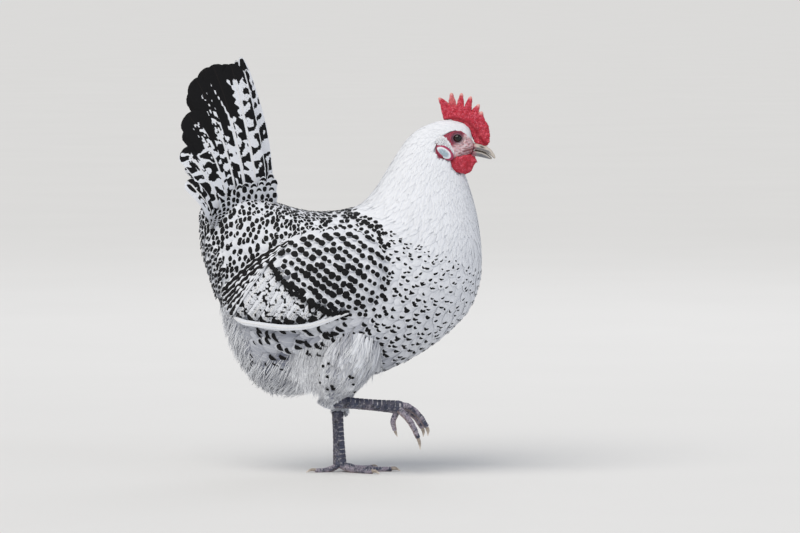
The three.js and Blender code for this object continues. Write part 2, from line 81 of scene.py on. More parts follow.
WING_OUTLINE = [
    (52, 232), (44, 258), (20, 275), (-14, 281), (-50, 272), (-82, 247), (-106, 216), (-121, 187),
    (-102, 173), (-76, 168), (-44, 168), (-10, 174), (22, 187), (46, 208),
]
LEGS = {
    "right": {
        "thigh": [(24, -38, 168), (16, -44, 140), (4, -46, 114), (-6, -43, 96), (-11, -40, 84)],
        "hock": (-11, -40, 83), "foot": (68.5, -33, 75.5),
    },
    "left": {
        "thigh": [(22, 34, 168), (17, 36, 142), (11, 30, 116), (5, 18, 94), (3, 9, 77)],
        "hock": (-2, 7, 90), "foot": (1.5, 2, 10),
    },
}
THIGH_SIZES = [(24, 34), (27, 34), (23, 27), (14, 16.5), (8.5, 9.5)]
SHANK_SIZES = [(6, 7.4), (4.8, 6.4), (4.4, 6), (4.8, 6.4), (6.2, 7.4)]

# ---------------- numbers


def through(points, at):
    """A smooth curve through places at even steps, read at 0..1."""
    p = np.asarray(points, float)
    last = len(p) - 1
    x = np.clip(np.asarray(at, float), 0, 1) * last
    i = np.minimum(x.astype(int), last - 1)
    f = (x - i)[..., None]
    p = np.vstack([2 * p[0] - p[1], p, 2 * p[-1] - p[-2]])
    a, b, c, d = p[i], p[i + 1], p[i + 2], p[i + 3]
    gap = lambda m, n: np.sqrt(np.maximum(np.linalg.norm(n - m, axis=-1, keepdims=True), 1e-4))
    s, t, u = gap(a, b), gap(b, c), gap(c, d)
    start = ((b - a) / s - (c - a) / (s + t) + (c - b) / t) * t
    end = ((c - b) / t - (d - b) / (t + u) + (d - c) / u) * t
    return b + f * start + f**2 * (3 * (c - b) - 2 * start - end) + f**3 * (2 * (b - c) + start + end)


def run(numbers, at):
    """A smooth run of plain numbers, read at 0..1."""
    return through([(i * 1000, n) for i, n in enumerate(numbers)], at)[..., 1]


def unit(v):
    return v / np.maximum(np.linalg.norm(v, axis=-1, keepdims=True), 1e-9)


def to_side(place, normal, side):
    """Places and normals of the left side, kept for side 1 and mirrored for side -1."""
    return place * [1, side, 1], normal * [1, side, 1]


def circle(count):
    return np.linspace(0, 2 * math.pi, count, endpoint=False)


def ease(low, high, x):
    t = np.clip((np.asarray(x, float) - low) / (high - low), 0, 1)
    return t * t * (3 - 2 * t)


def scatter(cell, seed):
    """Even random numbers for whole-number cells."""
    c = cell.astype(np.int64)
    h = c[..., 0] * 73856093 ^ c[..., 1] * 19349663 ^ c[..., 2] * 83492791 ^ seed * 2654435761
    h = (h ^ (h >> 13)) * 1274126177 & 0xFFFFFFFF
    h = (h ^ (h >> 16)) * 2246822519 & 0xFFFFFFFF
    return ((h ^ (h >> 15)) & 0xFFFFFF) / 0xFFFFFF


def ripple(p, seed=0):
    """Smooth noise of 0..1 over places, one bump to a unit."""
    base = np.floor(p)
    f = p - base
    f = f * f * (3 - 2 * f)
    total = 0
    for corner in np.ndindex(2, 2, 2):
        share = np.prod(np.where(corner, f, 1 - f), axis=-1)
        total = total + share * scatter(base + corner, seed)
    return total


def grains(p, seed=0):
    """Distance from every place to the nearest of a field of loose points."""
    base = np.floor(p)
    near = np.full(p.shape[:-1], 9.0)
    for step in np.ndindex(3, 3, 3):
        cell = base + np.array(step) - 1
        point = cell + np.stack([scatter(cell, seed + k) for k in range(3)], -1) * 0.8 + 0.1
        near = np.minimum(near, np.linalg.norm(point - p, axis=-1))
    return near


def inside(outline, x, z):
    """Which places of a side view lie within an outline."""
    hit = np.zeros(np.shape(x), bool)
    for (x0, z0), (x1, z1) in zip(outline, np.roll(outline, -1, 0)):
        if z0 != z1:
            hit ^= ((z0 > z) != (z1 > z)) & (x < (x1 - x0) * (z - z0) / (z1 - z0) + x0)
    return hit


def reach_to(line, x, z):
    """Shortest distance from places of a side view to a broken line."""
    best = np.full(np.shape(x), 1e9)
    q = np.stack([x, z], -1)
    for a, b in zip(np.asarray(line, float)[:-1], np.asarray(line, float)[1:]):
        t = np.clip(((q - a) @ (b - a)) / max((b - a) @ (b - a), 1e-9), 0, 1)
        best = np.minimum(best, np.linalg.norm(q - a - t[..., None] * (b - a), axis=-1))
    return best


def read_grid(grid, a, b):
    """A value between the nodes of a grid."""
    a = np.clip(a, 0, grid.shape[0] - 1.0001)
    b = np.clip(b, 0, grid.shape[1] - 1.0001)
    i, j = a.astype(int), b.astype(int)
    f, g = (a - i)[..., None], (b - j)[..., None]
    return ((grid[i, j] * (1 - f) + grid[i + 1, j] * f) * (1 - g)
            + (grid[i, j + 1] * (1 - f) + grid[i + 1, j + 1] * f) * g)


# ---------------- meshes


def add_object(name, data):
    thing = bpy.data.objects.new(name, data)
    bpy.context.scene.collection.objects.link(thing)
    return thing


def make_piece(name, place, faces, finish, uv=None, values=None, replaces=(), sharp=0.0):
    """Joins places in millimetres and lists of faces into one piece on the body."""
    mesh = bpy.data.meshes.new(name)
    place = np.asarray(place, float).reshape(-1, 3)
    corners = np.concatenate([f.ravel() for f in faces])
    sizes = np.concatenate([np.full(len(f), f.shape[1]) for f in faces])
    mesh.vertices.add(len(place))
    mesh.vertices.foreach_set("co", (place * MM).ravel())
    mesh.loops.add(len(corners))
    mesh.loops.foreach_set("vertex_index", corners.astype(np.int32))
    mesh.polygons.add(len(sizes))
    mesh.polygons.foreach_set("loop_start", np.concatenate([[0], np.cumsum(sizes)[:-1]]).astype(np.int32))
    mesh.polygons.foreach_set("use_smooth", np.ones(len(sizes), bool))
    mesh.update(calc_edges=True)
    if uv is not None:
        layer = mesh.uv_layers.new(name="OFBake")
        layer.data.foreach_set("uv", np.asarray(uv, float).reshape(-1, 2)[corners].ravel())
    for key, value in (values or {}).items():
        value = np.asarray(value, float)
        wide = value.size == 3 * len(mesh.vertices)
        layer = mesh.attributes.new(key, "FLOAT_VECTOR" if wide else "FLOAT", "POINT")
        layer.data.foreach_set("vector" if wide else "value", value.ravel())
    if sharp:
        mesh.set_sharp_from_angle(angle=sharp)
    mesh.materials.append(finish_of(finish))
    piece = add_object(name, mesh)
    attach(piece, "root")
    if replaces:
        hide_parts(*replaces)


def grid_faces(rows, columns, closed=False):
    """Four-cornered faces over a grid, whose columns may close into a ring."""
    index = np.arange(rows * columns).reshape(rows, columns)
    if closed:
        index = np.hstack([index, index[:, :1]])
    return np.stack([index[:-1, :-1], index[1:, :-1], index[1:, 1:], index[:-1, 1:]], -1).reshape(-1, 4)


def read_vertices(mesh, key):
    numbers = np.empty(len(mesh.vertices) * 3)
    mesh.vertices.foreach_get(key, numbers)
    return numbers.reshape(-1, 3)


def remeshed(nodes, voxel, rounds, grow=0.0):
    """Places, normals and faces of CAD nodes melted into one smooth mesh, in millimetres."""
    data = bpy.data.meshes.new("melt")
    place, faces, base = [], [], 0
    for node in nodes:
        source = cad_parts[node].data
        place.append(read_vertices(source, "co"))
        faces += [[v + base for v in polygon.vertices] for polygon in source.polygons]
        base += len(source.vertices)
    data.from_pydata(np.vstack(place), [], faces)
    holder = add_object("melt", data)
    remesh = holder.modifiers.new("melt", "REMESH")
    remesh.mode = "VOXEL"
    remesh.voxel_size = voxel * MM
    smooth = holder.modifiers.new("even", "SMOOTH")
    smooth.factor, smooth.iterations = 0.5, rounds
    ready = holder.evaluated_get(bpy.context.evaluated_depsgraph_get()).to_mesh()
    place, normal = read_vertices(ready, "co") / MM, read_vertices(ready, "normal")
    quads = np.array([p.vertices[:] for p in ready.polygons])
    holder.to_mesh_clear()
    bpy.data.objects.remove(holder)
    bpy.data.meshes.remove(data)
    return place + normal * grow, normal, quads


# ---------------- materials


def paint(code):
    """A screen colour such as e1e6f0 as light values."""
    parts = [int(code[i:i + 2], 16) / 255 for i in (0, 2, 4)]
    return tuple(c / 12.92 if c < 0.04045 else ((c + 0.055) / 1.055) ** 2.4 for c in parts) + (1.0,)


class Finish:
    """Wires the nodes of one material."""

    def __init__(self, name, roughness, **constants):
        self.material = bpy.data.materials.new(name)
        self.material.use_nodes = True
        self.tree = self.material.node_tree
        self.shader = self.tree.nodes["Principled BSDF"]
        self.shader.inputs["Roughness"].default_value = roughness
        for key, value in constants.items():
            self.shader.inputs[key.replace("_", " ")].default_value = value

    def put(self, socket, value):
        if isinstance(value, bpy.types.NodeSocket):
            self.tree.links.new(value, socket)
        elif value is not None:
            socket.default_value = value

    def value(self, name, part=None):
        node = self.tree.nodes.new("ShaderNodeAttribute")
        node.attribute_name = name
        if part is None:
            return node.outputs["Fac"]
        split = self.tree.nodes.new("ShaderNodeSeparateXYZ")
        self.put(split.inputs[0], node.outputs["Vector"])
        return split.outputs[part]

    def place(self, scale=(1, 1, 1)):
        node = self.tree.nodes.new("ShaderNodeTexCoord")
        mapping = self.tree.nodes.new("ShaderNodeMapping")
        mapping.inputs["Scale"].default_value = scale
        self.put(mapping.inputs["Vector"], node.outputs["Object"])
        return mapping.outputs[0]

    def calc(self, kind, a, b=None):
        node = self.tree.nodes.new("ShaderNodeMath")
        node.operation = kind
        self.put(node.inputs[0], a)
        self.put(node.inputs[1], b)
        return node.outputs[0]

    def times(self, a, b):
        return self.calc("MULTIPLY", a, b)

    def blend(self, share, a, b, kind="MIX"):
        node = self.tree.nodes.new("ShaderNodeMix")
        node.data_type, node.blend_type = "RGBA", kind
        self.put(node.inputs[0], share)
        self.put(node.inputs[6], a)
        self.put(node.inputs[7], b)
        return node.outputs[2]

    def noise(self, scale, detail=2.0, vector=None):
        node = self.tree.nodes.new("ShaderNodeTexNoise")
        node.inputs["Scale"].default_value = scale
        node.inputs["Detail"].default_value = detail
        self.put(node.inputs["Vector"], vector or self.place())
        return node.outputs["Fac"]

    def cells(self, scale):
        node = self.tree.nodes.new("ShaderNodeTexVoronoi")
        node.inputs["Scale"].default_value = scale
        self.put(node.inputs["Vector"], self.place())
        return node.outputs["Distance"]

    def spread(self, value, low, high, to_low=0.0, to_high=1.0):
        node = self.tree.nodes.new("ShaderNodeMapRange")
        node.interpolation_type = "SMOOTHSTEP"
        for key, given in (("Value", value), ("From Min", low), ("From Max", high), ("To Min", to_low),
                           ("To Max", to_high)):
            self.put(node.inputs[key], given)
        return node.outputs["Result"]

    def slant(self):
        """Where on its shaft the barb of a place starts, in millimetres."""
        across, along = self.value("lie", 0), self.value("lie", 1)
        return self.calc("SUBTRACT", along, self.times(self.calc("ABSOLUTE", across), 0.8))

    def barbs(self, pitch=0.55):
        """Fine slanting barbs on both sides of a shaft."""
        wave = self.calc("SINE", self.times(self.slant(), 2 * math.pi / pitch))
        return self.calc("ADD", self.times(wave, 0.5), 0.5)

    def done(self, colour, height, strength, distance):
        self.put(self.shader.inputs["Base Color"], colour)
        bump = self.tree.nodes.new("ShaderNodeBump")
        for key, value in (("Strength", strength), ("Distance", distance), ("Height", height)):
            self.put(bump.inputs[key], value)
        self.put(self.shader.inputs["Normal"], bump.outputs[0])
        return self.material


# ---------------- the body's surface


class Body:
    """The body as a grid: rows from the face to the stern, columns round from the back line.

    A place on it is a row and a share of the way round, 0 at the back line, 0.25 on the
    left flank and 0.5 at the belly line.
    """

    ROWS, COLUMNS, ROUND_STEPS, TREE_STEP = 481, 129, 385, 4

    def __init__(self):
        s = np.array(BODY_STATIONS, float)
        along = np.linspace(0, 1, self.ROWS)
        turn = np.linspace(0, 2 * math.pi, self.ROUND_STEPS)
        back = through([FACE_POINT, *s[:, 0:2], STERN_POINT], along)
        belly = through([FACE_POINT, *s[:, 2:4], STERN_POINT], along)
        half, high, full = (run([0, *s[:, k], 0], along)[:, None] for k in (4, 5, 6))
        half = np.maximum(half, 0.4)
        power = 1 - full
        rise = np.sign(np.cos(turn)) * np.abs(np.cos(turn)) ** power
        side = np.sign(np.sin(turn)) * np.abs(np.sin(turn)) ** power * (1 + high * rise)
        middle, reach = (back + belly) / 2, (back - belly) / 2
        ring = np.stack([middle[:, :1] + reach[:, :1] * rise, side * half,
                         middle[:, 1:] + reach[:, 1:] * rise], -1)
        steps = np.linalg.norm(np.diff(ring, axis=1), axis=-1)
        self.round = steps.sum(1)
        even = np.linspace(0, 1, self.COLUMNS)
        self.grid = np.empty((self.ROWS, self.COLUMNS, 3))
        for i in range(self.ROWS):
            share = np.concatenate([[0], np.cumsum(steps[i])]) / self.round[i]
            for k in range(3):
                self.grid[i, :, k] = np.interp(even, share, ring[i, :, k])
        lengthwise = np.gradient(self.grid, axis=0)
        crosswise = np.gradient(np.concatenate([self.grid[:, -2:-1], self.grid, self.grid[:, 1:2]], 1),
                                axis=1)[:, 1:-1]
        self.normal = unit(np.cross(crosswise, lengthwise))
        self.normal[:2] = self.normal[2]
        self.normal[-2:] = self.normal[-3]
        self.length = np.concatenate([np.zeros((1, self.COLUMNS)), np.cumsum(
            np.linalg.norm(np.diff(self.grid, axis=0), axis=-1), 0)])
        coarse = self.grid[::self.TREE_STEP, ::self.TREE_STEP]
        self.tree = BVHTree.FromPolygons(
            coarse.reshape(-1, 3).tolist(), grid_faces(*coarse.shape[:2]).tolist())

    def read(self, grid, row, share):
        return read_grid(grid, row, (share % 1) * (self.COLUMNS - 1))

    def row_at(self, station):
        """The row of a station counted from the face point."""
        return station * (self.ROWS - 1) / (len(BODY_STATIONS) + 1)

    def lines(self, row, share, far, sway):
        """Places and normals along the flow of the coat from each root, at distances `far`."""
        column = np.round((share % 1) * (self.COLUMNS - 1)).astype(int)
        rows, over = np.empty((2, *far.shape))
        steps = np.arange(self.ROWS)
        for k in range(len(row)):
            length = self.length[:, column[k]]
            reach = np.interp(row[k], steps, length) + far[k]
            rows[k] = np.interp(reach, length, steps)
            over[k] = np.maximum(0, reach - length[-1])
        shares = share[:, None] + sway
        place = self.read(self.grid, rows, shares)
        normal = self.read(self.normal, rows, shares)
        past = unit(self.grid[-1, column] - self.grid[-14, column])
        return place + past[:, None] * over[..., None], unit(normal)


BODY = Body()


class Flank:
    """How far the side of the bird stands out, wing included, over its side view."""

    LOW, HIGH, STEP = (-150, 130), (90, 312), 3.0

    def __init__(self):
        trees = []
        for node in ("trunk", "wing_left", "neck"):
            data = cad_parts[node].data
            place = [v.co / MM for v in data.vertices]
            trees.append(BVHTree.FromPolygons(place, [p.vertices[:] for p in data.polygons]))
        xs, zs = (np.arange(self.LOW[k], self.HIGH[k] + 1, self.STEP) for k in (0, 1))
        out = np.zeros((len(xs), len(zs)))
        for i, j in np.ndindex(out.shape):
            for tree in trees:
                hit, *_ = tree.ray_cast(Vector((xs[i], 300, zs[j])), Vector((0, -1, 0)))
                if hit is not None:
                    out[i, j] = max(out[i, j], hit.y)
        known = out > 1
        for _ in range(30):
            out = np.where(known, out, self.blur(out))
        for _ in range(3):
            out = self.blur(out)
        self.out = np.stack([out, *np.gradient(out, self.STEP)], -1)

    @staticmethod
    def blur(grid):
        g = np.pad(grid, 1, mode="edge")
        g = (g[:-2] + 2 * g[1:-1] + g[2:]) / 4
        return (g[:, :-2] + 2 * g[:, 1:-1] + g[:, 2:]) / 4

    def place(self, x, z, side, lift=0.0):
        """Places and outward normals over a side view; side is 1 for left, -1 for right."""
        a, b = (x - self.LOW[0]) / self.STEP, (z - self.LOW[1]) / self.STEP
        y, slope_x, slope_z = np.moveaxis(read_grid(self.out, a, b), -1, 0)
        normal = unit(np.stack([-slope_x, np.ones_like(y), -slope_z], -1))
        place = np.stack([x, y, z], -1) + normal * np.asarray(lift)[..., None]
        return to_side(place, normal, side)


FLANK = Flank()

# ---------------- vanes

# Outlines of a vane: shares of its length, and of its half width there.
BROAD = np.array([[0, 0.25, 0.5, 0.7, 0.84, 0.94, 1.0], [0.42, 0.72, 0.95, 1.0, 0.86, 0.56, 0.12]])
HACKLE = np.array([[0, 0.22, 0.45, 0.65, 0.82, 0.93, 1.0], [0.5, 0.86, 1.0, 0.9, 0.62, 0.34, 0.08]])
SMALL = np.array([[0, 0.4, 0.7, 0.9, 1.0], [0.5, 0.9, 1.0, 0.66, 0.16]])
STRAND = np.array([[0, 0.3, 0.6, 0.85, 1.0], [0.6, 1.0, 0.86, 0.5, 0.1]])
# Half width of a strand of down, and its arch as a share of that.
STRAND_HALF, STRAND_ARCH = 0.62, 0.6
# Edges of a vane that turn by more than this, in radians, stay sharp.
RIM_ANGLE = 1.0


class Vanes:
    """A crowd of thin blades that are all made alike: an arched top, a flat back, closed rims."""

    def __init__(self, spine, normal, half, columns, arch, ragged, seed):
        self.count, self.rows = half.shape
        self.columns, self.half = columns, half
        ahead = unit(np.gradient(spine, axis=1))
        across = unit(np.cross(normal, ahead))
        normal = np.cross(ahead, across)
        u = np.linspace(-1, 1, columns)
        wide = half[..., None] * u
        if ragged:
            rng = draws(seed)
            wide = wide * (1 + ragged * rng.uniform(-1, 1, wide.shape) * np.abs(u) ** 3)
        self.grid = (spine[:, :, None] + across[:, :, None] * wide[..., None]
                     - normal[:, :, None] * (arch * half[..., None] * u**2)[..., None])
        self.normal = np.repeat(normal[:, :, None], columns, 2)
        self.reach = np.concatenate([np.zeros((self.count, 1)), np.cumsum(
            np.linalg.norm(np.diff(spine, axis=1), axis=-1), 1)], 1)
        lot = draws(seed + 7).random(self.count)
        self.lie = np.stack(np.broadcast_arrays(wide, self.reach[..., None], lot[:, None, None]), -1)
        self.values = {}

    def pick(self, mask):
        """The vanes that a mask names, as a crowd of their own."""
        chosen = Vanes.__new__(Vanes)
        chosen.rows, chosen.columns, chosen.count = self.rows, self.columns, int(mask.sum())
        for key in ("grid", "normal", "half", "reach", "lie"):
            setattr(chosen, key, getattr(self, key)[mask])
        chosen.values = {k: v[mask] for k, v in self.values.items()}
        return chosen

    def tag(self, key, value):
        """Gives every vane, or every place on it, a number that its finish reads."""
        value = np.clip(np.asarray(value, float), 0, 1)
        value = value.reshape(value.shape + (1,) * (3 - value.ndim))
        self.values[key] = np.broadcast_to(value, self.grid.shape[:3]).copy()
        return self

    def faces(self):
        index = np.arange(self.rows * self.columns).reshape(self.rows, self.columns)
        quads = np.concatenate([
            grid_faces(self.rows, self.columns),
            np.stack([index[:-1, 0], index[:-1, -1], index[1:, -1], index[1:, 0]], -1)])
        ends = np.stack([index[0], index[-1, ::-1]])
        base = (np.arange(self.count) * self.rows * self.columns)[:, None, None]
        return [(base + quads).reshape(-1, 4), (base + ends).reshape(-1, self.columns)]

    def patches(self, where):
        """Each vane's small patch on the coat's map, at its root's place `where` (0..1)."""
        u = np.linspace(-1, 1, self.columns)
        v = np.linspace(0, 1, self.rows)
        bend = np.zeros((self.rows, self.columns))
        bend[-1] = 0.25 * (1 - u**2)
        bend[0] = -bend[-1]
        patch = np.stack(np.broadcast_arrays(u[None], 2 * v[:, None] - 1 + bend), -1) * 0.0015
        return where[:, None, None] * 0.99 + 0.005 + patch

    def strips(self):
        """Large vanes each take one broad strip of the map."""
        u = np.linspace(-1, 1, self.columns) * 0.46 + 0.5
        v = np.linspace(0.02, 0.98, self.rows)
        bend = np.zeros((self.rows, self.columns))
        bend[-1] = 0.012 * (1 - (2 * u - 1) ** 2)
        bend[0] = -bend[-1]
        left = np.arange(self.count)[:, None, None] / self.count
        return np.stack(np.broadcast_arrays(left + u / self.count, v[:, None] + bend), -1)


def join_vanes(name, crowds, finish, slot, replaces=()):
    """Joins (vanes, map places) pairs into one coat piece."""
    place, faces, uv, base = [], [], [], 0
    keys = sorted(set().union(*(v.values for v, _ in crowds)))
    values = {key: [] for key in keys} | {"lie": []}
    for vanes, where in crowds:
        if not vanes.count:
            continue
        place.append(vanes.grid.reshape(-1, 3))
        faces += [f + base for f in vanes.faces()]
        uv.append((where if where.ndim == 4 else vanes.patches(where)).reshape(-1, 2))
        values["lie"].append(vanes.lie.reshape(-1, 3))
        for key in keys:
            values[key].append(np.broadcast_to(
                vanes.values.get(key, np.zeros((1, 1, 1))), vanes.grid.shape[:3]).ravel())
        base += vanes.grid[..., 0].size
    make_piece(name, np.vstack(place), faces, finish, np.vstack(uv),
               {k: np.concatenate(v) for k, v in values.items()}, replaces, RIM_ANGLE)


def marks_on(vanes, stroke, half, raised):
    """Dark vanes laid on others.

    stroke is (count, steps, 2), across and along from the root in millimetres; half is the
    half width of each step.
    """
    ahead = unit(np.gradient(stroke, axis=1))
    beside = np.stack([ahead[..., 1], -ahead[..., 0]], -1)
    spot = stroke[:, :, None] + beside[:, :, None] * (half[..., None] * [-1, 0, 1])[..., None]
    steps = np.arange(vanes.rows)
    row, wide = np.empty((2, *spot.shape[:3]))
    for k in range(vanes.count):
        row[k] = np.interp(spot[k, ..., 1], vanes.reach[k], steps)
        wide[k] = np.interp(row[k], steps, vanes.half[k])
    column = (np.clip(spot[..., 0] / np.maximum(wide, 0.3), -1, 1) + 1) / 2 * (vanes.columns - 1)
    i = np.minimum(row.astype(int), vanes.rows - 2)
    j = np.minimum(column.astype(int), vanes.columns - 2)
    f, g = (row - i)[..., None], (column - j)[..., None]
    each = np.arange(vanes.count)[:, None, None]

    def read(grid):
        return ((grid[each, i, j] * (1 - f) + grid[each, i + 1, j] * f) * (1 - g)
                + (grid[each, i, j + 1] * (1 - f) + grid[each, i + 1, j + 1] * f) * g)

    made = Vanes.__new__(Vanes)
    made.count, made.rows, made.columns = vanes.count, stroke.shape[1], 3
    proud = np.reshape(raised, (-1, 1)) * [0.65, 1.0, 0.65]
    made.grid = read(vanes.grid) + read(vanes.normal) * proud[:, None, :, None]
    made.lie, made.values = read(vanes.lie), {}
    return made


def spots_on(vanes, centre, wide, tall, seed, raised):
    """Round to oval marks; centre is the distance back from each tip."""
    rng = draws(seed)
    turn = np.linspace(-1, 1, 5)[None] * math.pi / 2
    rough = 1 + rng.uniform(-0.16, 0.16, (vanes.count, 5))
    along = vanes.reach[:, -1:] - centre[:, None] + tall[:, None] * np.sin(turn) * rough
    across = rng.uniform(-0.25, 0.25, (vanes.count, 1))
    half = wide[:, None] * np.maximum(np.cos(turn), 0.04) ** 0.65 * rough[:, ::-1]
    return marks_on(vanes, np.stack([np.broadcast_to(across, along.shape), along], -1), half, raised)


def bows_on(vanes, centre, wide, thick, bow, seed, raised=0.16, lean=0.0):
    """Curved marks across a vane whose ends are drawn back toward the root by `bow`."""
    rng = draws(seed)
    u = np.linspace(-1, 1, 7)[None]
    rough = 1 + rng.uniform(-0.2, 0.2, (vanes.count, 7))
    along = vanes.reach[:, -1:] - centre[:, None] - bow[:, None] * u**2 + np.reshape(lean, (-1, 1)) * u
    across = wide[:, None] * u
    half = thick[:, None] * np.maximum(np.sqrt(np.maximum(1 - u**2, 0)), 0.2) * rough
    return marks_on(vanes, np.stack([across, along], -1), half, raised)


# ---------------- sizes and colours


def tint(name, description, code):
    return bpy.props.FloatVectorProperty(
        name=name, description=description, subtype="COLOR", size=4, min=0, max=1, default=paint(code))


def number(name, description, default, **limits):
    return bpy.props.FloatProperty(name=name, description=description, default=default, **limits)


class HenCoat(bpy.types.PropertyGroup):
    """Sizes and colours of the coat."""

    seed: bpy.props.IntProperty(name="Seed", description="Start of every random draw", default=11)
    depth: number(
        "Coat depth", "How deep the skin lies under the coat of the body", 0.005,
        min=0.001, max=0.01, unit="LENGTH")
    spacing: number(
        "Feather spacing", "Spacing of all small feathers against the usual", 1.0,
        min=0.7, max=2.0, subtype="FACTOR")
    mark: number(
        "Mark size", "Size of the dark marks against the usual", 1.0,
        min=0.3, max=1.6, subtype="FACTOR")
    strands: bpy.props.IntProperty(
        name="Soft strands", description="Strands of down tried on each thigh", default=3600, min=100)
    white: tint("White", "Clean white of the feathers", "eef1f7")
    grey: tint("Grey", "Soft down and the shaded ends of white feathers", "7f8392")
    black: tint("Black", "Marks of the feathers", "060608")


class HenFace(bpy.types.PropertyGroup):
    """Colours of the bare parts."""

    comb: tint("Comb", "Lit skin of comb and wattles", "cf2a41")
    # Deep red is painted shade where the comb meets the head and between the granules of comb and wattles,
    # and darker red in random patches on the wattles.
    deep: tint("Deep red", "Folds of comb and wattles", "9c1428")
    pale: tint("Pale skin", "Thin skin before and below the eye", "e7b9bb")
    lobe: tint("Ear lobe", "Smooth bluish grey lobe", "9fb0bd")
    horn: tint("Bill", "Ivory of the bill and claws", "cbbfb2")
    slate: tint("Slate", "Dark sides of the bill", "5d5f68")
    scale: tint("Leg scales", "Slate blue scales", "454b60")
    rim: tint("Scale rims", "Pale worn rims of the scales", "cbc8cc")
    iris: tint("Iris", "Brown ring of the eye", "32150c")


class HenStage(bpy.types.PropertyGroup):
    """The floor, lights and camera."""

    floor: tint("Floor", "Pale matt floor", "e4e4e3")
    key: number("Sky light", "Strength of the broad soft light from above", 2.1, min=0)
    fill: number("Fill light", "Power of each of the soft lights before and behind", 12, min=0, unit="POWER")
    world: number("Surround", "Brightness of the surround", 0.5, min=0)
    distance: number("Camera distance", "From the camera to the bird", 6.0, min=2, unit="LENGTH")


def coat():
    return bpy.context.scene.hen_coat


@functools.cache
def finish_of(make):
    """The material of a finish, made once."""
    return make(make.__name__.removesuffix("_finish"))


def plume_finish(name):
    """White to grey vanes with fine barbs and a paler shaft."""
    f = Finish(name, 0.78, Sheen_Weight=0.08, Specular_IOR_Level=0.25)
    # The tone value runs from white to grey: grey down and feather bases, and painted shade.
    soft = f.blend(f.value("tone"), coat().white, coat().grey)
    lot = f.spread(f.value("lie", 2), 0, 1, 0.95, 1.03)
    soft = f.blend(1.0, soft, f.blend(lot, (0, 0, 0, 1), (1, 1, 1, 1)), "MULTIPLY")
    barbs = f.barbs()
    soft = f.blend(f.times(barbs, 0.1), soft, coat().grey)
    shaft = f.spread(f.calc("ABSOLUTE", f.value("lie", 0)), 0.15, 0.5, 1.0, 0.0)
    soft = f.blend(f.times(shaft, 0.35), soft, paint("f4f4f2"))
    height = f.calc("ADD", f.times(barbs, 0.6), shaft)
    return f.done(soft, height, 0.35, 0.00025)


def dark_finish(name):
    """Black marks with a faint sheen along their barbs."""
    f = Finish(name, 0.62, Specular_IOR_Level=0.22)
    barbs = f.barbs()
    colour = f.blend(f.times(barbs, 0.25), coat().black, paint("17161b"))
    colour = f.blend(f.spread(f.noise(900), 0.55, 0.8, 0, 0.3), colour, paint("1f1b1a"))
    return f.done(colour, barbs, 0.3, 0.00025)


def quill_finish(name):
    """Large vanes whose black and white come from their ink, broken up along the barbs."""
    f = Finish(name, 0.66, Specular_IOR_Level=0.22)
    across, slant, lot = f.value("lie", 0), f.slant(), f.value("lie", 2)

    def stretched(scales):
        node = f.tree.nodes.new("ShaderNodeCombineXYZ")
        for socket, part, scale in zip(node.inputs, (across, slant, lot), scales):
            f.put(socket, f.times(part, scale))
        return node.outputs[0]

    streak = f.noise(1.0, 2.0, stretched((0.22, 1.1, 40.0)))
    ink = f.calc("ADD", f.value("ink"), f.times(f.calc("SUBTRACT", streak, 0.5), 0.42))
    ink = f.spread(ink, 0.44, 0.56)
    speck = f.noise(1.0, 3.0, stretched((0.9, 1.5, 91.0)))
    dust = f.calc("ADD", speck, f.times(f.value("pepper"), 0.5))
    dust = f.times(f.spread(dust, 0.66, 0.76), 0.85)
    pale = f.blend(f.value("tone"), coat().white, coat().grey)
    barbs = f.barbs(0.7)
    pale = f.blend(f.times(barbs, 0.12), pale, coat().grey)
    pale = f.blend(dust, pale, paint("4c4c52"))
    dark = f.blend(f.times(barbs, 0.3), coat().black, paint("17151b"))
    colour = f.blend(ink, pale, dark)
    shaft = f.spread(f.calc("ABSOLUTE", across), 0.35, 0.8, 1.0, 0.0)
    colour = f.blend(f.times(shaft, 0.55), colour,
                     f.blend(ink, paint("eceae6"), paint("1e1918")))
    height = f.calc("ADD", f.times(barbs, 0.5), f.times(shaft, 1.6))
    return f.done(colour, height, 0.4, 0.0004)


# A finish and a slot name.
WHITE = plume_finish, "plumage_white"
PENCILLED = plume_finish, "plumage_pencilled"
FLUFF = plume_finish, "plumage_fluff"
BLACK = dark_finish, "plumage_black"

# ---------------- where the marks are

# The line where the white neck ends, in side view.
MANTLE_LINE = [(-400, 330), (20, 316), (32.5, 308), (103, 262), (159, 258), (300, 258)]


def below_mantle(x, z):
    """How far a place lies under the white neck."""
    return np.interp(x, *zip(*MANTLE_LINE)) - z


def down_share(x, z):
    """How far the plumage has turned to plain soft down, at the abdomen and stern."""
    abdomen = ease(158, 122, z) * ease(75, 10, x)
    return abdomen + ease(-84, -112, x) * ease(208, 192, z) * ease(120, 160, z)


# Station numbers, with the spacing of feathers there along the flow and round the body.
STATIONS = [0, 1, 4, 6, 8, 10, 12, 15, 18, 21, 24]
ALONG = [1.6, 1.7, 2.0, 2.7, 3.8, 5.4, 7.2, 7.3, 8.8, 8.4, 6.2]
ROUND = [1.8, 1.8, 2.1, 2.6, 3.5, 5.0, 6.9, 6.6, 8.0, 7.6, 6.2]


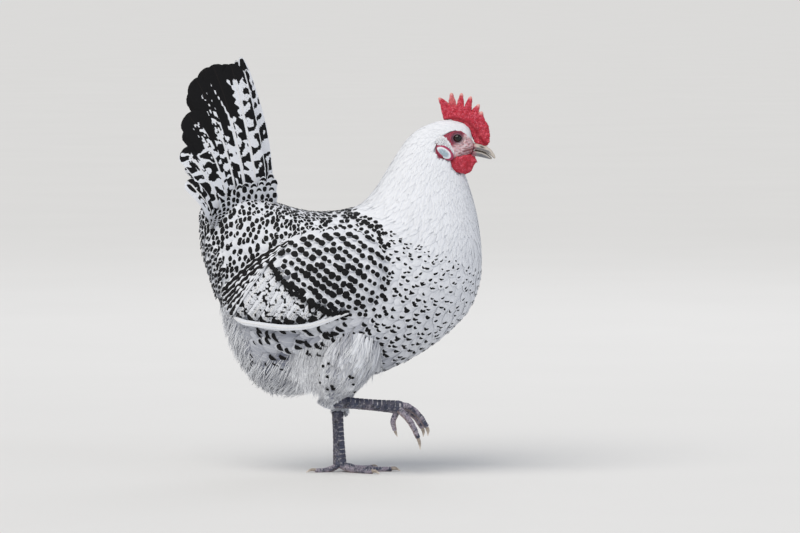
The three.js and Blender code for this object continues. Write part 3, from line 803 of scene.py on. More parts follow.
def ring_roots(first, last, seed):
    """Roots of feathers in rings round the body, from one station to another."""
    rng = draws(seed)
    flank = BODY.length[:, BODY.COLUMNS // 4]
    steps = np.arange(BODY.ROWS)
    reach, end = np.interp([BODY.row_at(first), BODY.row_at(last)], steps, flank)
    rows, shares, count = [], [], 0
    while reach < end:
        row = np.interp(reach, flank, steps)
        station = row / BODY.row_at(1)
        pitch = np.interp(station, STATIONS, ROUND) * coat().spacing
        ring = max(6, round(np.interp(row, steps, BODY.round) / pitch))
        share = (np.arange(ring) + 0.5 * (count % 2) + rng.uniform(-0.1, 0.1, ring)) / ring
        rows.append(row + rng.uniform(-0.12, 0.12, ring) * BODY.row_at(1) * 0.3)
        shares.append(share)
        reach += np.interp(station, STATIONS, ALONG) * coat().spacing
        count += 1
    return np.clip(np.concatenate(rows), 0, BODY.ROWS - 1), np.concatenate(shares) % 1


def lay(row, share, length, half, depth, tip, shape, seed, arch, columns=5, sway=0.8, ragged=0.08):
    """Vanes on the body along its flow, their roots sunk by `depth`, their tips lifted by `tip`."""
    rng = draws(seed)
    s, profile = shape
    ring = np.interp(row, np.arange(BODY.ROWS), BODY.round)
    drift = rng.uniform(-sway, sway, len(row))[:, None] / ring[:, None] * (length[:, None] * 0.2) * s**2
    place, normal = BODY.lines(row, share, length[:, None] * s, drift)
    rise = rng.uniform(-0.12, 0.25, len(row))[:, None] * np.maximum(tip, 0.5)[:, None]
    lift = -depth[:, None] * (1 - s) ** 1.2 + (tip[:, None] + rise) * s
    vanes = Vanes(place + normal * lift[..., None], normal, half[:, None] * profile,
                  columns, arch, ragged, seed)
    # Greyer toward the root: the feather's grey base, and painted shade where the next feathers lie over it.
    tone = np.interp(row / BODY.row_at(1), [9, 12], [0.05, 0.2])[:, None] * (1 - s)
    return vanes.tag("tone", tone[..., None])


def chart_place(row, share):
    """A root's place on the coat's map."""
    return np.stack([share % 1, row / BODY.ROWS], -1)


def crowd_sizes(row, share):
    """Length and half width of the feathers rooted on the body."""
    station = row / BODY.row_at(1)
    step = np.gradient(BODY.length, axis=0)
    column = np.round(share * (BODY.COLUMNS - 1)).astype(int)
    index = np.clip(np.round(row).astype(int), 4, BODY.ROWS - 12)
    local = np.clip(step[index, column] / step[index, BODY.COLUMNS // 4], 0.72, 1.45)
    hackle = ease(5, 7.5, station) * ease(11.5, 9.5, station)
    length = np.interp(station, STATIONS, ALONG) * coat().spacing * (3.2 + 1.4 * hackle) * local
    half = np.interp(station, STATIONS, ROUND) * coat().spacing * (0.76 - 0.14 * hackle)
    return length, half


# Bare places of the head, in side view.
FACE_OUTLINE = [(x * 1.12, z * 1.12) for x, z in (
    (106, 339), (115, 342.4), (122.7, 342.7), (127.8, 339.5), (131.7, 335.7), (134.2, 332), (137, 330.3),
    (142, 326), (142, 317), (131.7, 319), (120.2, 316), (112.5, 312.7), (99.8, 316.5), (96.6, 324.2),
    (99.1, 333))]
WATTLE_OUTLINE = [(126, 357), (158, 357), (156, 346), (148, 338), (134, 336), (126.5, 345)]


def is_bare(place, margin=7.0):
    """Places of the face, the chin and behind the wattles, where no feathers grow."""
    x, y, z = place.T
    chin = (x > 139) & (z < 362) & (z > 349)
    side = inside(FACE_OUTLINE, x, z) | inside(WATTLE_OUTLINE, x, z)
    return chin | (side & (np.abs(y) > margin))


# Feathers of the body stop this far inside the outline of the wing that covers them.
COVERED_FROM = 14
# How deep the roots of feathers sink and how high their tips stand, by station.
ROOT_DEPTH = [(0, 0.5), (6, 0.6), (9, 0.8), (12, 2.2), (15, 3.2), (24, 4.0)]
TIP_HEIGHT = [(0, 0.1), (9, 0.1), (12, 0.35), (16, 0.9), (24, 2.2)]


def body_crowd(first, last, seed, shape, arch, **kwargs):
    """Feathers on the bare body from one station to another, with their places on the map."""
    row, share = ring_roots(first, last, seed)
    root = BODY.read(BODY.grid, row, share)
    length, half = crowd_sizes(row, share)
    x, _, z = root.T
    covered = inside(WING_OUTLINE, x, z) & (
        reach_to(WING_OUTLINE + WING_OUTLINE[:1], x, z) > COVERED_FROM)
    keep = ~(covered | is_bare(root))
    row, share, root, length, half = (k[keep] for k in (row, share, root, length, half))
    rng = draws(seed + 1)
    length *= rng.uniform(0.92, 1.1, len(row))
    deep, high = (np.interp(row / BODY.row_at(1), *zip(*pairs)) for pairs in (ROOT_DEPTH, TIP_HEIGHT))
    high = high * (1 - down_share(root[:, 0], root[:, 2]))
    vanes = lay(row, share, length, half, deep, high, shape, seed, arch, **kwargs)
    return vanes, chart_place(row, share)


def stern_crowd(seed):
    """Feathers that hang straight down over the stern, under the tail."""
    rng = draws(seed)
    y, z = np.meshgrid(np.arange(-36, 37, 6.0), np.arange(289, 214, -6.6))
    y = y + 3.0 * (np.arange(len(y)) % 2)[:, None]
    root = np.stack([y, z], -1).reshape(-1, 2) + rng.uniform(-0.8, 0.8, (y.size, 2))
    root = root[np.hypot(root[:, 0] / 36, (root[:, 1] - 252) / 40) < 1]
    s, profile = BROAD
    reach = rng.uniform(19, 23, len(root))[:, None] * s
    sway = rng.uniform(-0.12, 0.12, len(root)) + root[:, 0] / 150
    line = np.stack([root[:, :1] + sway[:, None] * reach, root[:, 1:] - reach], -1)
    place, normal = np.empty((2, *reach.shape, 3))
    cell = np.empty(reach.shape, int)
    for k in np.ndindex(cell.shape):
        hit = BODY.tree.ray_cast(Vector((-300, *line[k])), Vector((1, 0, 0)))
        if hit[0] is None:
            hit = BODY.tree.find_nearest(Vector((-140, *line[k])))
        place[k], normal[k], cell[k] = hit[0], hit[1] * (-1 if hit[1].x > 0 else 1), hit[2]
    lift = 3.2 * s - 3.0 * (1 - s) ** 1.2
    vanes = Vanes(place + normal * lift[:, None], unit(normal), 4.6 * profile[None].repeat(len(root), 0),
                  5, 0.12, 0.08, seed)
    row, column = np.divmod(cell[:, 0], (BODY.COLUMNS - 1) // BODY.TREE_STEP)
    where = chart_place(row * BODY.TREE_STEP, column * BODY.TREE_STEP / (BODY.COLUMNS - 1))
    # Greyer toward the root: grey base and painted shade under the overlapping feathers.
    return vanes.tag("tone", 0.2 * (1 - s)[None, :, None]), where


def body_marks(vanes, where, seed):
    """Spots over the back, saddle and sides; bows on the breast and the lower flank."""
    rng = draws(seed)
    tip = vanes.grid[:, -1, vanes.columns // 2]
    x, y, z = tip.T
    under = below_mantle(x, z) + rng.uniform(-7, 7, len(x))
    down = down_share(x, z + 20)
    size = ease(-2, 26, under) * (1 - down) * coat().mark
    size = size * rng.uniform(0.86, 1.12, len(x)) * (rng.random(len(x)) > 0.05 + 0.5 * down)
    front = ease(40, 66, x) * ease(284, 262, z)
    low = ease(190, 160, z)
    bow = np.maximum(front, low) > rng.uniform(0.3, 0.7, len(x))
    behind, ahead = ease(40, 0, x) * low, ease(80, 135, x)
    size *= 1 - 0.36 * ahead * front
    shown = size > 0.3
    bow_set = bow & shown & (rng.random(len(x)) > 0.3 * behind + 0.25 * ahead)
    spot_set = ~bow & shown
    crowds = []
    if spot_set.any():
        chosen = vanes.pick(spot_set)
        saddle = ease(-20, -70, x[spot_set])
        hanging = saddle * ease(268, 236, z[spot_set])
        shoulder = ease(-45, -10, x[spot_set]) * ease(50, 30, x[spot_set]) * (z[spot_set] > 250)
        wide = (2.4 + 1.15 * saddle + 0.4 * hanging + 0.8 * shoulder) * size[spot_set]
        wide *= rng.uniform(0.85, 1.15, chosen.count)
        tall = wide * (1.0 - 0.33 * saddle - 0.08 * hanging)
        crowds.append((spots_on(chosen, tall + 0.9, wide, tall, seed=seed, raised=0.4), where[spot_set]))
        again = rng.random(chosen.count) < 0.22 * saddle
        second = chosen.pick(again)
        crowds.append((spots_on(second, tall[again] * 3.6 + 0.9, wide[again] * 0.85, tall[again] * 0.8,
                                seed=seed + 1, raised=0.4), where[spot_set][again]))
    if bow_set.any():
        chosen = vanes.pick(bow_set)
        rear, deep = behind[bow_set], ease(250, 180, z[bow_set])
        wide = (1.6 + 0.9 * deep + 1.5 * rear) * size[bow_set] * rng.uniform(0.8, 1.2, bow_set.sum())
        thick = (1.15 + 0.4 * deep + 0.45 * rear) * size[bow_set] * rng.uniform(0.8, 1.2, bow_set.sum())
        lean = rng.uniform(-1.1, 1.1, bow_set.sum()) + np.sign(y[bow_set]) * (1.1 + 2.0 * rear)
        back = 1.8 + thick + 1.5 * rear + rng.uniform(-0.5, 1.0, len(lean))
        crowds.append((bows_on(chosen, back, wide, thick, wide * 0.75, seed=seed, raised=0.35 + 1.1 * rear,
                               lean=lean), where[bow_set]))
    return crowds


class HEN_OT_skin(bpy.types.Operator):
    """One skin under the coat of head, neck, trunk, wings and thighs"""

    bl_idname = "hen.skin"
    bl_label = "Skin"

    def execute(self, context):
        nodes = ["trunk", "neck", "head", "wing_left", "wing_right", "thigh_left", "thigh_right"]
        place, normal, faces = remeshed(nodes, 2.6, 6)
        depth = coat().depth / MM
        x, y, z = place.T
        sink = np.interp(x * 0.8 + z, [380, 420], [depth, depth * 0.45])
        head = ease(322, 350, z) * ease(60, 84, x)
        sink = sink * (1 - head) + 1.9 * head
        sink = np.where(inside(WING_OUTLINE, x, z) & (np.abs(y) > 40), 3.4, sink)
        shank = ease(112, 96, z)
        sink = sink * (1 - shank) + 2.4 * shank
        place = place - normal * sink[:, None]
        x, _, z = place.T
        marks = ease(-2, 26, below_mantle(x, z)) * (1 - down_share(x, z)) * ease(60, 90, z)
        make_piece("hen_skin", place, [faces], skin_finish,
                   values={"marks": marks, "bare": is_bare(place, 0) * 1.0}, replaces=nodes)
        return {"FINISHED"}


def skin_finish(name):
    """Down-covered skin with the coat's own markings, bare and red round the eye."""
    f = Finish(name, 0.85, Specular_IOR_Level=0.2)
    down = f.blend(f.noise(160, 4), coat().grey, coat().white)
    spots = f.spread(f.cells(135), 0.28, 0.36, 1.0, 0.0)
    down = f.blend(f.times(spots, f.value("marks")), down, coat().black)
    down = f.blend(f.value("bare"), down, paint("a2304a"))
    return f.done(down, f.noise(900, 4), 0.5, 0.0006)


class HEN_OT_head_feathers(bpy.types.Operator):
    """Very small white feathers over the crown, cheeks and throat"""

    bl_idname = "hen.head_feathers"
    bl_label = "Head feathers"

    def execute(self, context):
        crowd = body_crowd(1.15, 5.9, coat().seed, SMALL, 0.1, columns=3, ragged=0)
        join_vanes("hen_head_feathers", [crowd], *WHITE)
        return {"FINISHED"}


class HEN_OT_neck_feathers(bpy.types.Operator):
    """Narrow white hackles that grow longer down the neck"""

    bl_idname = "hen.neck_feathers"
    bl_label = "Neck feathers"

    def execute(self, context):
        crowd = body_crowd(5.9, 10.6, coat().seed + 10, HACKLE, 0.05, sway=1.2)
        join_vanes("hen_neck_feathers", [crowd], *WHITE)
        return {"FINISHED"}


class HEN_OT_body_feathers(bpy.types.Operator):
    """Spotted feathers of back, breast, flanks and belly"""

    bl_idname = "hen.body_feathers"
    bl_label = "Body feathers"

    def execute(self, context):
        vanes, where = body_crowd(10.6, 23.6, coat().seed + 20, BROAD, 0.1, sway=1.2)
        tip = vanes.grid[:, -1, 2]
        keep = (tip[:, 0] > -130) | (np.hypot(tip[:, 1] / 30, (tip[:, 2] - 239) / 31) > 1)
        vanes, where, tip = vanes.pick(keep), where[keep], tip[keep]
        x, _, z = tip.T
        # Grey of the down over abdomen and stern, painted shade growing toward the bottom of the body, and
        # painted shade in patches under the wing's lower edge.
        down_grey_and_painted_shade = 0.45 * down_share(x, z) + 0.15 * ease(240, 120, z)
        down_grey_and_painted_shade += 0.5 * ease(178, 160, z) * ease(60, 30, x) * ease(0.35, 0.7, ripple(tip / 11, 4))
        vanes.tag("tone", vanes.values["tone"] + down_grey_and_painted_shade[:, None, None])
        stern, below = stern_crowd(coat().seed + 30)
        join_vanes("hen_body_feathers", [(vanes, where), (stern, below)], *PENCILLED)
        join_vanes("hen_body_marks", body_marks(vanes, where, coat().seed + 25)
                   + body_marks(stern, below, coat().seed + 35), *BLACK)
        return {"FINISHED"}


# ---------------- down of thighs and abdomen

# Broad feathers tried under the strands of each thigh, and strands tried for each veil.
THIGH_FEATHERS, VEIL_STRANDS = 620, 4200
# A thigh is fully covered where its half sizes add up to this, and less where it is thinner.
THIGH_FULL = 62


class Limb:
    """A round limb along a path, read by a share of its length and an angle."""

    def __init__(self, path, sizes):
        self.path, self.sizes = path, sizes
        s = through(path, np.linspace(0, 1, 60))
        self.length = np.linalg.norm(np.diff(s, axis=0), axis=-1).sum()

    def read(self, along, angle):
        axis = through(self.path, along)
        before = through(self.path, np.minimum(along, 1) - 0.01)
        ahead = unit(through(self.path, along + 0.01) - before)
        lateral = unit([0, 1, 0] - ahead * ahead[..., 1:2])
        deep = np.cross(ahead, lateral)
        wide, tall = (run([s[k] for s in self.sizes], along) for k in (0, 1))
        c, s = np.cos(angle), np.sin(angle)
        place = axis + lateral * (c * wide)[..., None] + deep * (s * tall)[..., None]
        normal = unit(lateral * (c / wide)[..., None] + deep * (s / tall)[..., None])
        past = np.maximum(0, np.asarray(along) - 1)[..., None]
        return place + ahead * past * self.length, normal


def inside_body(place):
    """Which places lie within the body's own surface."""
    result = np.zeros(len(place), bool)
    for k, p in enumerate(place):
        near, normal, _, _ = BODY.tree.find_nearest(Vector(p))
        result[k] = (Vector(p) - near).dot(normal) > 0
    return result


def soft_tone(rng, place, least=0.0):
    """Greyness of down, in patches and from strand to strand."""
    return least + 0.7 * ease(0.3, 0.75, ripple(place, 5)) + rng.uniform(-0.3, 0.35, len(place))


def thigh_down(side, count, seed, length, half, lift, shape, columns, arch):
    """Soft vanes over a thigh, lying down its length and ending in a hem at the hock."""
    rng = draws(seed)
    limb = Limb(LEGS[side]["thigh"], THIGH_SIZES)
    hem = 1.07 if side == "right" else 1.14
    along = 1.03 * rng.random(count) ** 0.75
    keep = rng.random(count) < run([sum(s) for s in THIGH_SIZES], along) / THIGH_FULL
    along = along[keep]
    angle = rng.uniform(0, 2 * math.pi, len(along))
    root, _ = limb.read(along, angle)
    free = ~inside_body(root)
    along, angle = along[free], angle[free]
    reach = np.minimum(rng.uniform(*length, len(along)) * (1 - 0.35 * along), (hem - along) * limb.length)
    s, profile = shape
    down = along[:, None] + reach[:, None] * s / limb.length
    turn = angle[:, None] + rng.uniform(-0.22, 0.22, len(along))[:, None] * s**2
    place, normal = limb.read(down, turn)
    loose = lift * rng.uniform(0.2, 1.0, len(along))[:, None] * (1 - 0.2 * along[:, None])
    rise = -3.2 + (3.2 + loose) * s**0.8
    vanes = Vanes(place + normal * rise[..., None], normal,
                  half * rng.uniform(0.8, 1.2, len(along))[:, None] * profile, columns, arch, 0.05, seed)
    where = np.stack([along, angle / (2 * math.pi)], -1)
    return vanes.tag("tone", soft_tone(rng, vanes.grid[:, 0, 1] / 9)), where


def abdomen_fluff(seed):
    """Loose strands under the belly, down the flanks and round the stern."""
    rng = draws(seed)
    row, share = ring_roots(13, 24, seed)
    row, share = np.tile(row, 14), np.tile(share, 14)
    row = np.clip(row + rng.uniform(-9, 9, len(row)), 0, BODY.ROWS - 12)
    share = (share + rng.uniform(-0.02, 0.02, len(row))) % 1
    root, normal = BODY.read(BODY.grid, row, share), unit(BODY.read(BODY.normal, row, share))
    x, z = root[:, 0], root[:, 2]
    soft = np.maximum(down_share(x, z + 4), 0.5 * ease(160, 125, z) * ease(100, 40, x))
    keep = rng.random(len(row)) < soft * 0.72
    row, share, root, normal, soft = (k[keep] for k in (row, share, root, normal, soft))
    count = len(row)
    s, profile = STRAND
    length = rng.uniform(15, 31, count)[:, None]
    flow = rng.uniform(-0.24, 0.24, (count, 3)) + [-0.5, 0, -0.86]
    ahead = unit(flow - normal * (flow * normal).sum(-1, keepdims=True))
    stand = rng.uniform(-0.5, 7.5, count)[:, None] * soft[:, None]
    out = -2.6 + (2.6 + stand) * s - length**2 / 190 * s**2
    line = root[:, None] + ahead[:, None] * (length * s)[..., None] + normal[:, None] * out[..., None]
    vanes = Vanes(line, np.repeat(normal[:, None], len(s), 1),
                  STRAND_HALF * rng.uniform(0.7, 1.3, count)[:, None] * profile, 3, STRAND_ARCH, 0, seed)
    return vanes.tag("tone", soft_tone(rng, root / 13, 0.1)), chart_place(row, share)


def flank_veil(side, seed):
    """Strands that hang from the flank over the top of the thigh."""
    rng = draws(seed)
    field = [(-50, 152), (-42, 122), (-12, 112), (18, 122), (46, 140), (50, 158), (20, 172), (-20, 166)]
    root = rng.uniform((-52, 110), (52, 174), (VEIL_STRANDS, 2))
    root = root[inside(field, root[:, 0], root[:, 1]) & (root[:, 1] > (146 if side > 0 else 0))]
    count = len(root)
    aim = rng.uniform(-0.45, 0.12, count)
    flow, length = np.stack([np.sin(aim), -np.cos(aim)], -1), rng.uniform(18, 32, count)
    half = STRAND_HALF * rng.uniform(0.7, 1.3, count)
    vanes = side_vanes(side, root, flow, length, half, STRAND, 2.0, 2.2, seed, 3, STRAND_ARCH)
    return vanes.tag("tone", soft_tone(rng, vanes.grid[:, 0, 1] / 9)), side_map(root)


class HEN_OT_down(bpy.types.Operator):
    """Hairy down of the thighs and the soft fluff of abdomen and stern"""

    bl_idname = "hen.down"
    bl_label = "Thigh and abdomen down"

    def execute(self, context):
        seed = coat().seed + 40
        for k, (side, word) in enumerate(SIDES):
            under = thigh_down(word, THIGH_FEATHERS, seed + k, (20, 30), 3.6, 0.6, BROAD, 5, 0.25)
            soft = thigh_down(word, coat().strands, seed + 4 + k, (13, 24), STRAND_HALF, 2.4, STRAND, 3,
                              STRAND_ARCH)
            join_vanes(f"hen_thigh_down_{word}", [under, soft], *FLUFF)
            join_vanes(f"hen_flank_veil_{word}", [flank_veil(side, seed + 14 + k)], *FLUFF)
            rng = draws(seed + 8 + k)
            vanes, where = under
            chosen = (rng.random(vanes.count) < 0.07) & (vanes.grid[:, 0, 2, 2] > 112)
            wide = rng.uniform(2.2, 3.1, chosen.sum())
            marks = spots_on(vanes.pick(chosen), wide * 2, wide, wide * 0.62, seed, 2.4)
            join_vanes(f"hen_thigh_marks_{word}", [(marks, where[chosen])], *BLACK)
        join_vanes("hen_abdomen_down", [abdomen_fluff(seed + 20)], *FLUFF)
        return {"FINISHED"}


# ---------------- wings

ROW_LINE = unit(np.array([0.79, -0.614]))
COVERT_FLOW = unit(np.array([-0.6, -0.8]))
REAR_FLOW = np.array([-0.72, -0.69])
WING_BAR = [
    (-78, 250), (-74, 240), (-61.6, 222), (-48, 208), (-31, 197), (-14.6, 188), (-3.4, 184.5), (14, 184),
]
COVERT_FIELD = [
    (-74, 240), (-61.6, 222), (-48, 208), (-31, 197), (-14.6, 188), (-3.4, 184.5), (18, 184), (40, 196),
    (54, 214), (60, 236), (54, 256), (34, 268), (0, 272), (-40, 268), (-72, 252), (-96, 226), (-92, 220),
]


def side_vanes(side, root, flow, length, half, shape, sink, tip, seed, columns=5, arch=0.2, base=0.0,
               drift=0.0):
    """Vanes on the flank from roots and flows in side view."""
    s, profile = shape
    rng = draws(seed)
    turn = rng.uniform(-drift, drift, len(root))
    flow = np.stack([flow[:, 0] * np.cos(turn) - flow[:, 1] * np.sin(turn),
                     flow[:, 0] * np.sin(turn) + flow[:, 1] * np.cos(turn)], -1)
    line = root[:, None] + flow[:, None] * (length[:, None] * s)[..., None]
    lift = base + (-sink * (1 - s) ** 1.2 + tip * s)[None] + rng.uniform(-0.1, 0.2, len(root))[:, None] * s
    place, normal = FLANK.place(line[..., 0], line[..., 1], side, lift)
    return Vanes(place, normal, half[:, None] * profile, columns, arch, 0.08, seed)


def side_map(root):
    """A root's place on the coat's map, from its side view."""
    return np.stack([(root[:, 0] + 150) / 280, (root[:, 1] - 90) / 222], -1)


# Long quills of the folded wing: kind, root, middle, tip, half width, height.
QUILLS = [
    ("secondary", (-68.3, 239), (-90, 209), (-110, 179), 6.6, 1.6),
    ("secondary", (-61, 229), (-79, 202), (-97, 174.5), 6.6, 1.9),
    ("secondary", (-53, 219), (-68, 195), (-83, 171.5), 6.4, 2.2),
    ("secondary", (-44, 209), (-56.5, 190.5), (-69, 171), 6.2, 2.5),
    ("secondary", (-35.5, 201), (-45.5, 186.5), (-56, 171.5), 6.0, 2.8),
    ("secondary", (-25, 194), (-34, 183.5), (-43, 172.5), 5.6, 3.1),
    ("secondary", (-14, 189), (-21.5, 181), (-30, 173), 5.2, 3.4),
    ("secondary", (-3, 186), (-9, 180), (-16, 174), 4.8, 3.7),
    ("tertial", (-70.6, 249.8), (-98, 213), (-118.5, 180), 4.3, 4.0),
    ("tertial", (-67.5, 252.5), (-97, 217), (-121.5, 184.5), 4.0, 4.7),
    ("tertial", (-63.5, 255.2), (-96, 221), (-124, 189), 3.9, 5.4),
    ("tertial", (-59.4, 257.6), (-94, 226), (-125.5, 194), 3.8, 6.1),
    ("tertial", (-56, 260.6), (-94, 231.5), (-126.5, 200), 3.8, 6.6),
    ("tertial", (-53, 263.2), (-93, 236.5), (-127, 206), 3.6, 7.0),
    ("edge", (12, 185), (-42, 170.4), (-106, 175.5), 3.1, 9.0),
    ("edge", (2, 182), (-50, 168.8), (-110, 176.5), 2.6, 7.6),
    ("edge", (-10, 179), (-62, 167.4), (-113, 178), 2.2, 6.0),
]


def quill_shape(s, blunt):
    """Half width along a long quill: narrow at the root, even, and round at the tip."""
    tip = np.sqrt(np.maximum(1 - np.clip((s - (1 - blunt)) / blunt, 0, 1) ** 2, 0.0))
    return (0.55 + 0.45 * ease(0, 0.3, s)) * np.maximum(tip, 0.1)


def quill_steps(count, blunt=0.1):
    """Rows along a quill, a tenth of them on its round tip."""
    s = np.linspace(0, 1, count)
    return np.where(s < 0.9, s / 0.9 * (1 - blunt), 1 - blunt + (s - 0.9) / 0.1 * blunt)


def wing_bar(side, seed):
    """Black scallops that run together into the bar across the wing."""
    rng = draws(seed + 9)
    count = 30
    line = through(WING_BAR, np.linspace(0.06, 0.97, count))
    root = line - COVERT_FLOW * rng.uniform(2.6, 4.0, (count, 1)) + rng.uniform(-0.5, 0.5, (count, 2))
    flow = np.repeat(COVERT_FLOW[None], count, 0)
    length, half = rng.uniform(6.2, 9.2, count), rng.uniform(2.3, 3.3, count)
    vanes = side_vanes(side, root, flow, length, half, SMALL, 0.6, 0.9, seed, 5, 0.1, 1.7, 0.3)
    return vanes, side_map(root)


def wing_coverts(side, seed):
    """Rows of round feathers over the front and upper wing."""
    rng = draws(seed)
    step, pitch = 9.3 * coat().spacing, 7.3 * coat().spacing
    i, j = np.mgrid[-16:26, -22:22].reshape(2, -1, 1)
    root = np.array([-20.0, 250.0]) + COVERT_FLOW * i * step + ROW_LINE * (j + 0.5 * (i % 2)) * pitch
    root = root + rng.uniform(-0.7, 0.7, root.shape)
    tip = root + COVERT_FLOW * 20
    root = root[inside(COVERT_FIELD, tip[:, 0], tip[:, 1])]
    root = root[np.argsort(root[:, 1])]
    fan = ease(-40, -110, root[:, 0])[:, None]
    flow = unit(COVERT_FLOW * (1 - fan) + REAR_FLOW * fan)
    length = rng.uniform(21, 24, len(root)) * (1 - 0.15 * ease(30, 60, root[:, 0]))
    half = np.full(len(root), 5.2)
    vanes = side_vanes(side, root, flow, length, half, BROAD, 2.6, 1.5, seed, drift=0.05)
    # Greyer toward the root: grey base and painted shade under the overlapping feathers.
    return vanes.tag("tone", 0.3 * (1 - BROAD[0])[None, :, None]), side_map(root)


def wing_quills(side, seed):
    """Secondaries, striped tertials and the white lower edge, with their ink."""
    rows, columns = 60, 13
    s = quill_steps(rows)
    place, normal, half = [], [], []
    for kind, root, middle, tip, wide, high in QUILLS:
        line = through([root, middle, tip], s)
        lift = high * 0.5 + 0.8 * s - 3.0 * (1 - s) ** 4
        p, n = FLANK.place(line[:, 0], line[:, 1], side, lift)
        n = unit(n + [0, 0, 0.55 if kind == "edge" else 0])
        place.append(p)
        normal.append(n)
        half.append(wide * quill_shape(s, 0.05 if kind == "edge" else 0.1))
    vanes = Vanes(np.array(place), np.array(normal), np.array(half), columns, 0.14, 0.02, seed)
    u = np.linspace(-1, 1, columns) * side
    ink, pepper = np.zeros((2, *vanes.grid.shape[:3]))
    for k, (kind, *_) in enumerate(QUILLS):
        left = (vanes.reach[k, -1] - vanes.reach[k])[:, None]
        if kind == "secondary":
            patchy = ripple(vanes.grid[k] / [3.4, 3.4, 2.6], 5 + k)
            deep = 9.6 + 0.8 * k - 8 * (k == 7)
            bar = ease(-0.5, 0.6, left) * ease(deep, deep - 2.5, left + 4.5 * patchy)
            ink[k] = np.maximum(bar, 0.66 * ease(0.54, 0.67, patchy) * ease(8, 12, left))
            pepper[k] = 0.24 + 0.16 * ease(30, 12, left) - 0.3 * (u > 0.55)
        elif kind == "tertial":
            patchy = ripple(vanes.grid[k] / 4.5, 5 + k) - 0.5
            wave = 0.22 * np.sin(left * 0.6 + k * 2) + 0.7 * patchy
            stripe = ease(0.9, 0.45, np.abs(u - 0.05 + wave))
            ink[k] = stripe * ease(0.6, 2.0, left) * (0.85 + 0.9 * patchy)
            pepper[k] = 0.1
        else:
            ink[k] = 0.4 * ease(0.7, 0.95, -u) * ease(3, 8, left)
    vanes.values = {"ink": ink, "pepper": pepper, "tone": ink * 0 + 0.05}
    return vanes


class HEN_OT_wings(bpy.types.Operator):
    """Spotted coverts, the dark bar, pale secondaries, striped tertials and white lower edge"""

    bl_idname = "hen.wings"
    bl_label = "Wings"

    def execute(self, context):
        for side, word in SIDES:
            seed = coat().seed + 60 + side
            coverts, where = wing_coverts(side, seed)
            join_vanes(f"hen_coverts_{word}", [(coverts, where)], *PENCILLED)
            rng = draws(seed)
            x, _, z = coverts.grid[:, -1, 2].T
            shown = ease(-4, 20, below_mantle(x, z) + rng.uniform(-6, 6, coverts.count))
            wide = 4.25 * coat().mark * shown * rng.uniform(0.7, 1.12, coverts.count)
            wide *= 1 - 0.2 * ease(20, 50, x)
            chosen = (wide > 0.7) & (rng.random(coverts.count) > 0.03)
            wide = wide[chosen]
            tall = wide * rng.uniform(0.76, 1.0, len(wide))
            marks = spots_on(coverts.pick(chosen), wide * 0.9 + 0.8, wide, tall, seed, 0.55)
            crowds = [(marks, where[chosen]), wing_bar(side, seed)]
            join_vanes(f"hen_covert_marks_{word}", crowds, *BLACK)
            quills = wing_quills(side, seed)
            join_vanes(f"hen_quills_{word}", [(quills, quills.strips())], quill_finish, "plumage_pencilled")
        return {"FINISHED"}


# ---------------- tail


TAIL_LENGTH = 186
# The solid black of the tail's upper rear, in side view.
TAIL_DARK = [
    (-106, 458), (-119, 463), (-130, 460), (-151, 460), (-170, 436), (-181, 395), (-184, 360), (-166, 360),
    (-158, 353), (-146, 364), (-137, 375), (-122, 391), (-118, 404), (-115, 420), (-122, 438), (-112, 438),
    (-104, 446),
]


class Fan:
    """One side of the tail: a share across it, 0 at the foremost feather, and a share up it."""

    def place(self, q, s):
        inner = np.clip(q, 0, 1)
        place = self.on_fan(inner, s)
        near, far = np.maximum(inner - 0.02, 0), np.minimum(inner + 0.02, 1)
        slope = (self.on_fan(far, s) - self.on_fan(near, s)) / (far - near)[..., None]
        return place + slope * (q - inner)[..., None] * [1, 0.8, 1]

    @staticmethod
    def on_fan(q, s):
        front, back = np.array(TAIL_ROOTS)
        root = front + (back - front) * q[..., None]
        tips = through(TAIL_TIPS, q)
        tip = np.stack([tips[..., 0], 4 + 44 * q**0.8, tips[..., 1]], -1)
        middle = root + (tip - root) * 0.55 + [8, 3, 0]
        s = np.asarray(s)[..., None]
        return (root * (s - 0.55) * (s - 1) / 0.55 - middle * s * (s - 1) / (0.55 * 0.45)
                + tip * s * (s - 0.55) / 0.45)

    def frame(self, q, s, side, lift):
        """Places and outward normals on one side, lifted off the tail's middle."""
        q, s = np.broadcast_arrays(np.asarray(q, float), np.asarray(s, float))
        d = 0.01
        place = self.place(q, s)
        up = self.place(q, s + d) - self.place(q, s - d)
        back = self.place(q + d, s) - self.place(q - d, s)
        normal = unit(np.cross(up, back))
        normal = normal * np.sign(normal[..., 1:2] + 1e-9)
        place = place + normal * np.asarray(lift)[..., None]
        place[..., 1] = np.maximum(place[..., 1], 0.7)
        return to_side(place, normal, side)


FAN = Fan()


